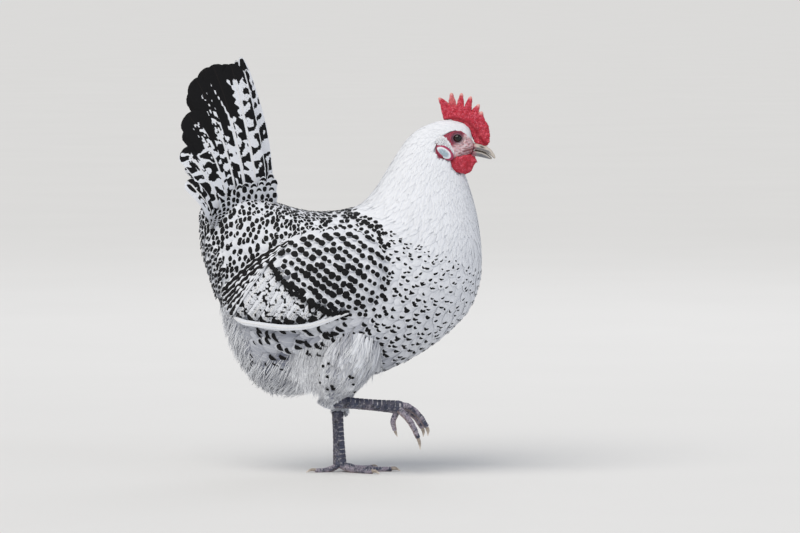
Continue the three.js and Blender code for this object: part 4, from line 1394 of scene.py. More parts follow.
def tail_coverts(side, seed):
    """Rows of small feathers climbing from the rump onto the long feathers."""
    rng = draws(seed)
    q, s = [], []
    step = 0.034 * coat().spacing
    for i in range(10):
        reach = -0.06 + step * i
        wide = 0.055 + 0.035 * i / 15
        for j in range(int(1.34 / (wide * 1.6)) + 1):
            q.append(-0.1 + (j + 0.5 * (i % 2)) * wide * 1.6)
            s.append(reach - 0.06 * abs(q[-1] - 0.4))
    q, s = np.array(q), np.array(s)
    keep = (q < 1.12) & (s < 0.17 - 0.05 * np.abs(q - 0.3))
    q = q[keep] + rng.uniform(-0.012, 0.012, keep.sum())
    s = s[keep] + rng.uniform(-0.006, 0.006, keep.sum())
    steps, profile = BROAD
    length = (18 + 8 * ease(0, 0.4, s)) * rng.uniform(0.92, 1.08, len(s))
    half = 4.0 + 1.4 * ease(0, 0.4, s)
    up = s[:, None] + length[:, None] * steps / TAIL_LENGTH
    lift = 5.2 - 3.4 * ease(0.1, 0.5, s)[:, None] - 2.0 * (1 - steps) + 0.5 * steps
    place, normal = FAN.frame(q[:, None], up, side, lift)
    vanes = Vanes(place, normal, half[:, None] * profile, 5, 0.12, 0.12, seed)
    # Greyer toward the root: grey base and painted shade under the overlapping feathers.
    vanes.tag("tone", 0.3 * (1 - steps)[None, :, None])
    return vanes, np.stack([(q + 0.2) / 1.4, np.clip(s + 0.12, 0, 1)], -1)


def long_feathers(side, seed):
    """The outer faces of the long feathers, then their inner ones."""
    rows, columns = 110, 21
    s = quill_steps(rows, 0.09)
    place, normal, half = [], [], []
    leans = draws(seed).uniform(-0.012, 0.012, TAIL_FEATHERS)
    for k in range(TAIL_FEATHERS):
        q = min(1, (k + (0.45 if side > 0 else 0)) / (TAIL_FEATHERS - 1))
        lift = 0.75 * (6 - k if k else 1) * ease(0, 0.3, s) - 1.0 - 1.5 * (1 - s) - 2.0 * (k == 0)
        lean = 0.03 * np.sin(3 * s + k) + leans[k]
        p, n = FAN.frame(q + lean * s, 0.02 + 0.98 * s, side, lift)
        place.append(p)
        normal.append(n)
        wide = 12.5 - 5.5 * ease(0.5, 1, s) if k == 0 else (0, 14, 16.5, 16.5, 16, 13, 8.5)[k]
        half.append(wide * quill_shape(s, 0.14 if k == 0 else 0.09))
    place, normal, half = np.array(place), np.array(normal), np.array(half)
    inner = place - normal * (0.1 * half + 0.6)[..., None]
    inner[..., 1] = side * np.maximum(side * inner[..., 1], 0.4)
    arch = np.repeat([0.1, 0.02], TAIL_FEATHERS)[:, None, None]
    vanes = Vanes(np.vstack([place, inner]), np.vstack([normal, -normal]), np.vstack([half, half * 0.97]),
                  columns, arch, 0.02, seed)
    ink, pepper = np.zeros((2, *vanes.grid.shape[:3]))
    for i in range(vanes.count):
        k = i % TAIL_FEATHERS
        front = np.linspace(-1, 1, columns)[None] * (side if i == k else -side)
        at, far = s[:, None], vanes.reach[i][:, None]
        place = vanes.grid[i] * [1, side, 1]
        x, z = place[..., 0], place[..., 2]
        edge = reach_to(TAIL_DARK + TAIL_DARK[:1], x, z)
        deep = np.where(inside(TAIL_DARK, x, z), edge, -edge) + 9 * (ripple(place / 7, 3) - 0.5)
        slant = far - 7 * np.abs(front)
        bend = 5 * (ripple(place / 9, 7 + k) - 0.5)
        wave = 0.5 + 0.5 * np.cos(slant / 2.1 + 2.3 * k + 2.2 * (front > 0) + bend)
        grain = ripple(np.stack(np.broadcast_arrays(front * 3.4, slant / 7.5, 5.1 * k), -1), 9)
        blot = ease(0.48, 0.58, 0.36 * wave + 0.8 * grain) * ease(0.03, 0.13, np.abs(front))
        blot *= ease(1.0, 0.86, np.abs(front))
        ink[i] = np.maximum(blot * 0.95, np.clip(0.5 + deep / 7, 0, 1))
        if k in (3, 4, 5):
            fleck = ripple(np.stack(np.broadcast_arrays(front * 9, far / 3.2, 7.3 * k), -1), 21)
            ink[i] -= (ease(0.5, 0.62, fleck) * ease(0.45, 0.2, np.abs(front))
                       * ease(0.5, 0.6, at) * ease(0.93, 0.84, at))
        if k in (1, 2, 3):
            shaft = (0.3 - 0.2 * ease(0.8, 0.6, at), 0.03 + 0.09 * ease(0.9, 0.5, at), 0.05)[k - 1]
            bent = front + 0.05 + (0.6 * ease(0.6, 0.95, at) if k == 2 else 0)
            ink[i] *= 1 - ease(shaft, shaft * 0.5, np.abs(bent)) * ease(0.95, 0.84, at)
        if k == 0:
            tip = ease(0.9, 0.94, at)
            ink[i] = ink[i] * (1 - tip) + tip * ease(0.8, 0.62, np.abs(front)) * ease(0.995, 0.985, at)
        if k == 6:
            ink[i] *= ease(-0.7, -0.45, front)
        pepper[i] = 0.12 * ease(0.3, 0.6, at)
    vanes.values = {"ink": ink, "pepper": pepper}
    return vanes


class HEN_OT_tail(bpy.types.Operator):
    """Upright tail: seven long feathers a side, and the small coverts over their roots"""

    bl_idname = "hen.tail"
    bl_label = "Tail"

    def execute(self, context):
        for side, word in SIDES:
            seed = coat().seed + 90 + side
            long = long_feathers(side, seed)
            join_vanes(f"hen_tail_feathers_{word}", [(long, long.strips())], quill_finish, "tail_feather",
                       [f"tail_{word}"])
            vanes, where = tail_coverts(side, seed + 5)
            join_vanes(f"hen_tail_coverts_{word}", [(vanes, where)], *PENCILLED)
            rng = draws(seed)
            high = ease(300, 345, vanes.grid[:, -1, 2, 2])
            wide = (2.2 + 0.8 * high) * coat().mark * rng.uniform(0.85, 1.15, vanes.count)
            spotted = high < rng.uniform(0.25, 0.6, vanes.count)
            dot, heart = wide[spotted], wide[~spotted]
            spots = spots_on(vanes.pick(spotted), dot * 1.4 + 0.6, dot, dot * 1.35, seed, 0.4)
            bows = bows_on(vanes.pick(~spotted), 1.6 + heart * 0.5, heart * 1.25, heart * 0.6,
                           heart * 1.1, seed)
            crowds = [(spots, where[spotted]), (bows, where[~spotted])]
            join_vanes(f"hen_tail_marks_{word}", crowds, *BLACK)
        return {"FINISHED"}


# ---------------- head


def face():
    return bpy.context.scene.hen_face


def on_head(x, z, side, lift=0.0):
    """Places and normals where a side view meets the head; a missed place is not a number."""
    place = np.full(x.shape + (3,), np.nan)
    normal = np.zeros(x.shape + (3,))
    normal[..., 1] = 1
    for k in np.ndindex(x.shape):
        hit = BODY.tree.ray_cast(Vector((x[k], 200, z[k])), Vector((0, -1, 0)))
        if hit[0] is not None:
            place[k] = hit[0]
            normal[k] = -hit[1] if hit[1].y < 0 else hit[1]
    place = place + normal * np.asarray(lift)[..., None]
    return to_side(place, normal, side)


# How far red, green and blue light spread under thin bloody skin.
RED_GLOW = (1.0, 0.25, 0.15)


def face_finish(name):
    """Thin red skin with granules, paler before the eye and grey on the lids, with painted shade between the
    granules and along the gape, and fine dark red lines before the eye.
    """
    f = Finish(name, 0.5, Specular_IOR_Level=0.4, Subsurface_Weight=0.12, Subsurface_Scale=0.002,
               Subsurface_Radius=RED_GLOW)
    grain = f.cells(950)
    red = f.blend(f.spread(f.noise(420, 3), 0.35, 0.65), paint("9c2a44"), paint("b8455c"))
    # Painted shade in the hollows between the granules.
    red = f.blend(f.spread(grain, 0.25, 0.6, 0.0, 0.6), red, paint("6f1730"))
    pale = f.blend(f.spread(f.noise(500, 3), 0.35, 0.65), face().pale, paint("ede2e8"))
    colour = f.blend(f.value("pale"), red, pale)
    # The crease value: painted shade along the gape, and fine dark red lines in the skin before the eye.
    colour = f.blend(f.value("crease"), colour, paint("6d0f1c"))
    colour = f.blend(f.value("lid"), colour, paint("5a4856"))
    return f.done(colour, f.calc("SUBTRACT", 1.0, grain), 0.5, 0.0003)


def face_patch(side, word):
    """Bare skin from the rim of the lids out to the feathers."""
    rows, columns = 56, 144
    cx, cz = EYE_CENTRE[0], EYE_CENTRE[2]
    turn = circle(columns)
    ray = np.stack([np.cos(turn), np.sin(turn)], -1)
    reach = np.zeros(columns)
    for step in np.arange(6, 34, 0.4):
        x, z = cx + ray[:, 0] * step, cz + ray[:, 1] * step
        held = inside(FACE_OUTLINE, x, z) & ~np.isnan(on_head(x, z, 1)[0][:, 0])
        reach = np.where(held & (reach > step - 0.9) | (step < 6.1), step, reach)
    for _ in range(5):
        reach = (np.roll(reach, 1) + 2 * reach + np.roll(reach, -1)) / 4
    lid = 4.75 * (1 - 0.1 * np.abs(np.sin(turn)) - 0.05 * np.cos(turn))
    share = np.linspace(0, 1, rows)[:, None] ** 1.25
    far = lid + (reach - lid) * share
    x, z = cx + ray[:, 0] * far, cz + ray[:, 1] * far
    head_y = on_head(x, z, 1)[0][..., 1]
    head_y = np.where(np.isnan(head_y), np.nanmin(head_y, axis=0, keepdims=True), head_y)
    ball = EYE_CENTRE[1] + np.sqrt(np.maximum(EYE_RADIUS**2 - np.minimum(far, 6.2) ** 2, 0)) + 0.25
    out = far - lid
    y = ball * ease(2.6, 0, out) + head_y * ease(0, 2.6, out)
    for high, at, wide in ((0.9, 1.0, 0.8), (0.42, 2.7, 0.5), (0.28, 4.2, 0.5)):
        y = y + high * np.exp(-((out - at) / wide) ** 2)
    p = np.stack([x, y, z], -1)
    brow = ease(0.2, 1.0, np.sin(turn))[None] * np.exp(-((out - 3.6) / 1.8) ** 2)
    y += 0.8 * brow
    fine = ease(1.4, 4, out)
    y += fine * (0.5 - np.clip(grains(p / 1.25, 5), 0, 0.9)) * 0.7
    y += fine * 0.5 * (ripple(p * [0.35, 0.35, 0.9], 8) - 0.5)
    y += 0.8 - 2.4 * ease(0.88, 1.0, share)
    y[0] -= 0.7
    p = np.stack([x, y, z], -1)
    front = (x - cx) * 0.7 - (z - cz) * 0.72
    pale = ease(0, 5, front) * ease(24, 16, far) * (0.66 + 0.34 * ripple(p / 2.2, 3))
    # Painted shade along the gape; fine dark red lines in the pale skin before the eye.
    gape = reach_to([(140, 360.5), (150, 363), (158, 359)], x, z)
    wrinkles = ease(0.58, 0.78, ripple(p * [0.3, 0.3, 1.3] + [0, 0, 30], 8))
    crease = np.maximum(0.8 * ease(1.5, 0.4, gape), 0.6 * wrinkles * fine * ease(-2, 3, front))
    lids = np.exp(-((out - 0.6) / 1.1) ** 2) * 0.95 + 0.55 * np.exp(-((out - 2.7) / 0.6) ** 2)
    faces = grid_faces(rows, columns, closed=True)
    if side > 0:
        faces = faces[:, ::-1]
    make_piece(f"hen_face_{word}", p * [1, side, 1], [faces], face_finish,
               values={"pale": pale, "crease": crease, "lid": lids})


def ear_tuft(side, word):
    """Short white feathers over the ear, behind the bare skin."""
    rng = draws(31 + side)
    field = [(110, 376), (115.4, 379), (121.5, 376), (126, 369), (130.5, 359), (124.3, 361), (118, 366.5),
             (112, 369.5)]
    tries, count = 1500, 430
    x, z = rng.uniform(109, 131, tries), rng.uniform(358, 380, tries)
    keep = inside(field, x, z)
    root = np.stack([x[keep], z[keep]], -1)[:count]
    s, profile = STRAND
    aim = -0.35 + rng.uniform(-0.3, 0.3, len(root))
    flow = np.stack([np.sin(aim), -np.cos(aim)], -1)
    line = root[:, None] + flow[:, None] * (rng.uniform(2.6, 4.6, len(root))[:, None] * s)[..., None]
    lift = 0.9 + rng.uniform(0.5, 1.7, len(root))[:, None] * s
    place, normal = on_head(line[..., 0], line[..., 1], side, lift)
    good = ~np.isnan(place).any((1, 2))
    vanes = Vanes(place[good], normal[good], (0.58 * profile)[None].repeat(good.sum(), 0), 3, 0.5, 0, 31)
    vanes.tag("tone", rng.uniform(0, 0.25, vanes.count))
    where = (root[good] - [108, 356]) / [24, 26]
    join_vanes(f"hen_ear_tuft_{word}", [(vanes, where)], *WHITE)


class HEN_OT_face(bpy.types.Operator):
    """Bare skin round each eye with its lids, and the tuft of ear feathers"""

    bl_idname = "hen.face"
    bl_label = "Face and lids"

    def execute(self, context):
        for side, word in SIDES:
            face_patch(side, word)
            ear_tuft(side, word)
        return {"FINISHED"}


def eye_finish(name):
    """Black pupil in a brown ring under a wet clear surface."""
    f = Finish(name, 0.05, Specular_IOR_Level=0.35, Coat_Weight=0.3, Coat_Roughness=0.02)
    ring = f.value("ring")
    fibre = f.noise(2600, 2, f.place((1, 0.3, 1)))
    iris = f.blend(fibre, face().iris, paint("2c130a"))
    colour = f.blend(f.spread(ring, 0.5, 0.58), paint("050404"), iris)
    colour = f.blend(f.spread(ring, 0.66, 0.76), colour, paint("120a08"))
    return f.done(colour, fibre, 0.04, 0.0001)


class HEN_OT_eyes(bpy.types.Operator):
    """Wet dark eyes with a brown ring"""

    bl_idname = "hen.eyes"
    bl_label = "Eyes"

    def execute(self, context):
        rows, columns = 40, 64
        for side, word in SIDES:
            axis = unit(np.array([0.22, side, 0.06]))
            beside = unit(np.cross(axis, [0, 0, 1]))
            above = np.cross(beside, axis)
            lean = np.linspace(0.02, math.pi - 0.02, rows)[:, None]
            turn = circle(columns)[None]
            bulge = EYE_RADIUS + 0.25 * ease(0.75, 0.2, lean)
            place = (np.array(EYE_CENTRE) * [1, side, 1]
                     + axis * (bulge * np.cos(lean) * np.ones_like(turn))[..., None]
                     + beside * (bulge * np.sin(lean) * np.cos(turn))[..., None]
                     + above * (bulge * np.sin(lean) * np.sin(turn))[..., None])
            ring = np.where(lean < math.pi / 2, np.sin(lean), 1) + 0 * turn
            faces = [f[:, ::-1] for f in tube_faces(rows, columns)]
            make_piece(f"hen_eye_{word}", place, faces, eye_finish, values={"ring": ring},
                       replaces=[f"eye_{word}"])
        return {"FINISHED"}


def comb_finish(name):
    """Granular pinkish red skin, paler at the points, with painted highlights in random lighter patches,
    painted shade between the granules and where the comb meets the head and bill, and darker red patches on
    the wattles.
    """
    f = Finish(name, 0.48, Specular_IOR_Level=0.4, Subsurface_Weight=0.15, Subsurface_Scale=0.003,
               Subsurface_Radius=RED_GLOW)
    grain = f.cells(880)
    # Painted highlights: lighter pink in random patches.
    red = f.blend(f.spread(f.noise(330, 3), 0.4, 0.65), face().comb, paint("ec6479"))
    # Painted shade in the hollows between the granules.
    red = f.blend(f.spread(grain, 0.3, 0.62, 0.0, 0.75), red, face().deep)
    # The deep value: painted shade where the comb meets the head and bill, and darker red patches at random
    # on the wattles.
    red = f.blend(f.value("deep"), red, face().deep)
    colour = f.blend(f.value("pale"), red, paint("e9b6ad"))
    return f.done(colour, f.calc("SUBTRACT", 1.0, grain), 0.5, 0.0004)


class HEN_OT_comb(bpy.types.Operator):
    """Upright comb with thin spikes, its surface covered with fine granules"""

    bl_idname = "hen.comb"
    bl_label = "Comb"

    SPIKES = [(112.4, 420.5), (126.7, 425.7), (138.2, 425.5), (148.6, 422), (157.6, 412.8), (160.6, 404.6)]
    BASE = [(121, 395), (134, 396.5), (146, 392), (154, 384), (160, 374), (164, 368)]

    def execute(self, context):
        place, normal, faces = remeshed(["comb"], 0.55, 8, 0.35)
        x, y, z = place.T
        tips = np.min([np.hypot(x - a, z - b) for a, b in self.SPIKES], axis=0)
        base = reach_to(self.BASE, x, z)
        blade = ease(2.0, 6.0, tips)
        lobe = ease(398, 384, z)
        bump = (0.45 - np.clip(grains(place / 1.7, 2), 0, 0.9)) * (0.8 + 0.9 * lobe) * (0.3 + 0.7 * blade)
        bump += (ripple(place / 3.4, 4) - 0.5) * (1.1 + lobe) * blade - 0.7 * np.exp(-(base / 1.5) ** 2)
        pale = np.maximum(ease(5.0, 1.2, tips) * 0.8, 0.25 * ease(2.2, 1.0, np.abs(y)) * ease(396, 415, z))
        # Painted shade along the comb's base, where it meets the head, and at its front end by the bill.
        front = ease(4.5, 1.5, np.hypot(x - 165.5, z - 368.5))
        deep = np.clip(np.exp(-(base / 2.4) ** 2) + 0.85 * front, 0, 1)
        make_piece("hen_comb", place + normal * bump[:, None], [faces], comb_finish,
                   values={"pale": pale, "deep": deep}, replaces=["comb"])
        return {"FINISHED"}


def lobe_finish(name):
    """Smooth bluish white skin with fine folds and a red rim."""
    f = Finish(name, 0.45, Specular_IOR_Level=0.4, Subsurface_Weight=0.1, Subsurface_Scale=0.002)
    pale = f.calc("MAXIMUM", f.value("pale"), f.spread(f.noise(520, 3), 0.55, 0.75))
    white = f.blend(pale, face().lobe, paint("e3e8ef"))
    colour = f.blend(f.value("rim"), white, paint("a8365a"))
    return f.done(colour, f.noise(1400, 4), 0.35, 0.0003)


class HEN_OT_wattles(bpy.types.Operator):
    """Thin crimson wattles and pale ear lobes"""

    bl_idname = "hen.wattles"
    bl_label = "Wattles and ear lobes"

    def execute(self, context):
        for side, word in SIDES:
            place, normal, faces = remeshed([f"wattle_{word}"], 0.5, 5, 0.45)
            place = (place - [156, 0, 355]) * [1.24, 1, 1.02] + [156, 0, 358]
            x, _, z = place.T
            z += (4.4 * ease(135, 150, x) - 3.0) * ease(345, 356, z)
            x -= 4.2 * ease(352, 338, z) * ease(148, 134, x)
            z += ease(350, 341, z) * (6 * ease(149, 155, x) - 3.2 * np.exp(-((x - 144) / 5) ** 2))
            if side > 0:
                place = (place - [150, 0, 356]) * [0.88, 1, 0.8] + [150, 0, 357]
            fold = ripple(place * [0.55, 0.3, 0.16], 12) - 0.5
            bump = fold * 1.5 + (0.45 - np.clip(grains(place / 1.1, 6), 0, 0.9)) * 0.4
            deep = np.clip(0.45 + 0.9 * (0.5 - ripple(place / 3, 2)), 0, 1)
            make_piece(f"hen_wattle_{word}", place + normal * bump[:, None], [faces], comb_finish,
                       values={"deep": deep}, replaces=[f"wattle_{word}"])
            place, normal, faces = remeshed([f"earlobe_{word}"], 0.45, 5, 0.7)
            place = (place - [119.6, 0, 359]) * [1.3, 1, 1.26] + [117.9, 0, 359.3]
            x, z = (place[:, 0] - 117.9) / 1.3, (place[:, 2] - 359.3) / 1.26
            u = x * math.cos(0.6) - z * math.sin(0.6)
            v = x * math.sin(0.6) + z * math.cos(0.6)
            edge = np.hypot(u / 8.4, v / 4.8)
            rim = ease(0.8, 0.9, edge)
            crease = np.exp(-((v - 0.6) / 0.5) ** 2) * ease(8, 3, np.abs(u))
            bump = 0.25 * (ripple(place / 1.8, 3) - 0.5) - 0.3 * crease
            make_piece(f"hen_earlobe_{word}", place + normal * bump[:, None], [faces], lobe_finish,
                       values={"rim": rim, "pale": ease(0.45, 0.75, edge)},
                       replaces=[f"earlobe_{word}"])
        return {"FINISHED"}


def bill_finish(name):
    """Horn: slate sides, ivory ridge, rims and point, with growth lines along it, and painted shade in the
    nostrils and along the gape.
    """
    f = Finish(name, 0.36, Specular_IOR_Level=0.45, Coat_Weight=0.1, Coat_Roughness=0.3)
    line = f.noise(260, 4, f.place((0.35, 1.4, 3.2)))
    slate = f.blend(line, face().slate, paint("83858c"))
    horn = f.blend(line, face().horn, paint("e4dccf"))
    colour = f.blend(f.value("ivory"), slate, horn)
    colour = f.blend(f.value("blush"), colour, paint("b25a6c"))
    # The dark value: painted shade in the nostrils and along the gape where the two halves meet.
    colour = f.blend(f.value("dark"), colour, paint("171214"))
    return f.done(colour, line, 0.25, 0.0003)


class HEN_OT_bill(bpy.types.Operator):
    """Both halves of the bill with its ridge, rims and nostrils"""

    bl_idname = "hen.bill"
    bl_label = "Bill"

    def execute(self, context):
        for word in ("upper", "lower"):
            place, normal, faces = remeshed([f"beak_{word}"], 0.42, 7, 0.25)
            x, _, z = place.T
            if word == "upper":
                nostril = np.hypot((x - 161.3) / 3.8, (z - 365.3 + 0.35 * (x - 161.3)) / 1.3)
                bump = -0.9 * np.exp(-nostril**2) + 0.35 * np.exp(-((nostril - 1.7) / 0.5) ** 2)
                gape = np.interp(x, [143, 153, 161, 168, 173, 175.2],
                                 [362.5, 361.6, 360.2, 357.4, 353.9, 351.6])
                ivory = 1 - 0.9 * np.exp(-((z - gape - 2.4) / 1.5) ** 2) * ease(173, 168, x)
                # Painted shade in the nostril and along the gape under the upper half.
                dark = np.maximum(np.exp(-nostril**2 * 1.3), 0.75 * ease(0.5, -0.3, z - gape))
            else:
                bump = np.zeros(len(x))
                gape = np.interp(x, [143, 153, 160, 166, 171.5], [361.6, 361.0, 359.6, 357.0, 352.9])
                ivory = np.maximum(0.25 * ripple(place / 5, 3), 0.8 * ease(-2.4, -1.2, z - gape))
                # Painted shade along the gape at the top of the lower half.
                dark = 0.7 * ease(-0.9, -0.1, z - gape)
            make_piece(f"hen_bill_{word}", place + normal * bump[:, None], [faces], bill_finish,
                       values={"ivory": ivory * 0.9, "dark": dark, "blush": 0.8 * ease(157, 150, x)},
                       replaces=[f"beak_{word}"])
        return {"FINISHED"}


# ---------------- legs

TOE_SIZE, TOE_TAPER, TOE_START, SOLE_LEVEL, CLAW_SHARE = 4.1, 0.34, 2, 0.78, 0.46
# Rows and columns of the meshes.
SHANK_GRID, TOE_GRID, CLAW_GRID = (190, 44), (110, 28), (28, 16)
# Digit, heading in degrees, length, joints, size.
STANDING_TOES = [(3, 4, 55, 4, 1.0), (2, -34, 41, 3, 0.95), (4, 40, 44, 4, 0.9), (1, 196, 25, 2, 0.85)]
# Digit, joints, size, and the path and claw counted from the foot joint.
RAISED_TOES = [
    (4, 4, 0.92, [(1, -3, -3), (9.5, -8, -11.5), (16, -11, -21.5), (20.5, -12, -32)],
     [(22.5, -12, -38), (23.5, -11.5, -46)]),
    (3, 4, 1.0, [(1, 1, 2.5), (11.5, 2, -0.5), (23, 3, -10.5), (30, 3.5, -21)],
     [(32, 3.5, -26), (32, 3.5, -32)]),
    (2, 3, 0.95, [(1, 5, -1), (10, 10, -5), (19, 13, -13), (25, 14.5, -23)],
     [(27, 15, -28), (27, 15, -34)]),
    (1, 2, 0.8, [(-3, 1, -6), (-6.5, 3, -14), (-6.5, 4, -20), (-5, 4.5, -25)],
     [(-4, 4.5, -28.5), (-2, 4.5, -33)]),
]


def scale_finish(name):
    """Slate scales with pale worn rims and a dark line between them."""
    f = Finish(name, 0.5, Specular_IOR_Level=0.4)
    slate = f.blend(f.spread(f.noise(140, 4), 0.3, 0.7), face().scale, paint("2f3344"))
    slate = f.blend(f.spread(f.noise(60, 3), 0.5, 0.75, 0, 0.5), slate, paint("6d6370"))
    worn = f.times(f.value("worn"), f.spread(f.noise(170, 3), 0.38, 0.58))
    slate = f.blend(worn, slate, paint("a59aa8"))
    rim = f.times(f.value("rim"), f.spread(f.noise(240, 3), 0.4, 0.6))
    colour = f.blend(rim, slate, face().rim)
    colour = f.blend(f.value("seam"), colour, paint("1b1c26"))
    colour = f.blend(f.value("sole"), colour, paint("a58c84"))
    return f.done(colour, f.noise(1500, 4), 0.3, 0.0003)


def claw_finish(name):
    """Horn claws, darker along the ridge and pale at the point."""
    f = Finish(name, 0.4, Specular_IOR_Level=0.45)
    line = f.noise(420, 4, f.place((0.5, 2.0, 1.0)))
    colour = f.blend(line, paint("6f6258"), face().horn)
    return f.done(f.blend(f.value("point"), colour, paint("ded3c6")), line, 0.25, 0.0002)


def tube(path, sizes, rows, columns):
    """Places round a limb with rounded ends, their normals, how far along and round they lie,
    the limb's length, and how far its ends draw in.
    """
    limb = Limb(path, sizes)
    cap = np.linspace(0, math.pi / 2, 5)[:-1]
    end = min(sizes[-1]) / limb.length * 0.8
    start = min(sizes[0]) / limb.length * 0.8
    along = np.concatenate([-start * np.cos(cap), np.linspace(0, 1, rows), 1 + end * np.cos(cap[::-1])])
    narrow = np.maximum(np.sin(cap), 0.06)
    shrink = np.concatenate([narrow, np.ones(rows), narrow[::-1]])
    a, t = np.meshgrid(along, circle(columns), indexing="ij")
    inner = np.clip(a, 0, 1)
    place, normal = limb.read(inner, t)
    axis = through(path, inner)
    ahead = unit(through(path, inner + 0.01) - through(path, inner - 0.01))
    push = (a - inner) * limb.length
    place = axis + (place - axis) * shrink[:, None, None] + ahead * push[..., None]
    return place, normal, a * limb.length, t, limb.length, shrink[:, None]


def tube_faces(rows, columns):
    """Faces of a tube and of its two ends."""
    ends = np.arange(columns)[None]
    return [grid_faces(rows, columns, closed=True)[:, ::-1], ends, (ends + (rows - 1) * columns)[:, ::-1]]


def scaled_limb(node, path, sizes, dorsal, pitch, rows, columns, depth, floor=False, joints=0):
    """A leg or toe with overlapping plates on its upper side and small scales round the rest."""
    place, normal, far, turn, length, shrink = tube(path, sizes, rows, columns)
    upper = normal @ unit(np.array(dorsal, float))
    plate = ease(-0.1, 0.25, upper)
    under = ease(-0.35, -0.8, upper)
    share = (far / pitch + 0.15 * np.cos(turn)) % 1
    step = ease(0, 0.2, share) * (0.55 + 0.45 * share) * ease(1.0, 0.88, share)
    cell = grains(place / (pitch * 0.62), 4)
    small = 0.55 - np.clip(cell, 0, 0.8)
    height = (plate * step * depth + (1 - plate) * small * depth * 0.9) * shrink
    if joints:
        bend = np.cos(far / length * joints * 2 * math.pi + math.pi) * 0.5 + 0.5
        height = height + under * bend * 0.5
    place = place + normal * height[..., None]
    if floor:
        place[..., 2] = np.maximum(place[..., 2], 0.02)
    rim = plate * ease(0.72, 0.86, share) + (1 - plate) * 0.35 * ease(0.4, 0.55, cell)
    gap = np.maximum(ease(0.1, 0.02, share), ease(0.97, 1.0, share))
    seam = plate * gap + (1 - plate) * ease(0.6, 0.72, cell)
    make_piece(f"hen_{node}", place, tube_faces(*place.shape[:2]), scale_finish,
               values={"rim": np.clip(rim, 0, 1), "seam": np.clip(seam, 0, 1) * 0.8,
                       "sole": under * (0.5 if joints else 0.08),
                       "worn": np.full(place.shape[:2], 0.75 if joints else 0.1)},
               replaces=[node])


def claw(node, path, size, floor=False):
    """A smooth claw that narrows to its point."""
    sizes = [(size, size * 1.15), (size * 0.75, size), (0.35, 0.4)]
    place, _, far, _, length, _ = tube(path, sizes, *CLAW_GRID)
    if floor:
        place[..., 2] = np.maximum(place[..., 2], 0.02)
    make_piece(f"hen_{node}", place, tube_faces(*place.shape[:2]), claw_finish,
               values={"point": ease(0.55, 1.0, far / length)}, replaces=[node])


def toe(side, digit, path, joints, size, dorsal, floor):
    """A toe that swells at each joint and narrows between them."""
    share = np.linspace(0, 1, joints * 2 + 1)
    radius = TOE_SIZE * size * (1 - TOE_TAPER * share) * np.resize([1.06, 0.94], len(share))
    sizes = np.stack([radius * 1.05, radius], -1)
    scaled_limb(f"toe_{digit}_{side}", path, sizes, dorsal, 2.7, *TOE_GRID, 0.38, floor, joints)


class HEN_OT_legs(bpy.types.Operator):
    """Scaled shanks, toes and claws of the standing and the raised leg"""

    bl_idname = "hen.legs"
    bl_label = "Legs and feet"

    def execute(self, context):
        for side, leg in LEGS.items():
            hock, foot = np.array(leg["hock"], float), np.array(leg["foot"], float)
            dorsal = (1, 0, 0) if side == "left" else (0, 0, 1)
            path = [hock, (hock + foot) / 2, foot]
            scaled_limb(f"shank_{side}", path, SHANK_SIZES, dorsal, 5.0, *SHANK_GRID, 0.6)
        foot = np.array(LEGS["left"]["foot"], float)
        for digit, heading, length, joints, size in STANDING_TOES:
            angle = math.radians(heading)
            aim = np.array([math.cos(angle), math.sin(angle)])
            lying = lambda share: SOLE_LEVEL * TOE_SIZE * size * (1 - TOE_TAPER * share)
            path = [(*(foot[:2] + aim * (TOE_START + length * share)), z) for share, z in (
                (0, foot[2] - 2.5), (0.24, lying(0.24) + 1.6), (0.55, lying(0.55)), (1, lying(1)))]
            toe("left", digit, path, joints, size, (0, 0, 1), True)
            end = np.array(path[-1])
            tips = [(*(end[:2] + aim * far), z)
                    for far, z in ((0, end[2] + 1), (6, end[2] + 1.2), (11.5, 0.6))]
            claw(f"claw_{digit}_left", tips, TOE_SIZE * size * CLAW_SHARE, True)
        foot = np.array(LEGS["right"]["foot"], float)
        for digit, joints, size, path, tips in RAISED_TOES:
            path = [foot + p for p in path]
            dorsal = (0.75, 0, 0.65) if digit != 1 else (-0.9, 0, -0.3)
            toe("right", digit, path, joints, size, dorsal, False)
            tips = [path[-1], *[foot + p for p in tips]]
            claw(f"claw_{digit}_right", tips, TOE_SIZE * size * CLAW_SHARE)
        return {"FINISHED"}


# ---------------- stage


# What the floor far away keeps of its colour in this light; the surround behind it matches.
FAR_FLOOR = (0.949, 0.939, 0.935, 1)
# The camera's aim and what it sees across, in metres, and how far it looks down, in degrees.
AIM, VIEW_WIDTH, LOOK_DOWN, SENSOR = (0.0694, 0.0, 0.231), 0.896, 3.5, 36
SKY_PLACE = (-1.2, -1.6, 2.9)


def floor_finish(name):
    """Pale matt floor with a very slight mottle."""
    f = Finish(name, 0.9, Specular_IOR_Level=0.0)
    pale = tuple(bpy.context.scene.hen_stage.floor)
    soft = tuple(c * 0.96 for c in pale[:3]) + (1,)
    return f.done(f.blend(f.noise(3.0, 3), pale, soft), f.noise(400, 3), 0.05, 0.0002)


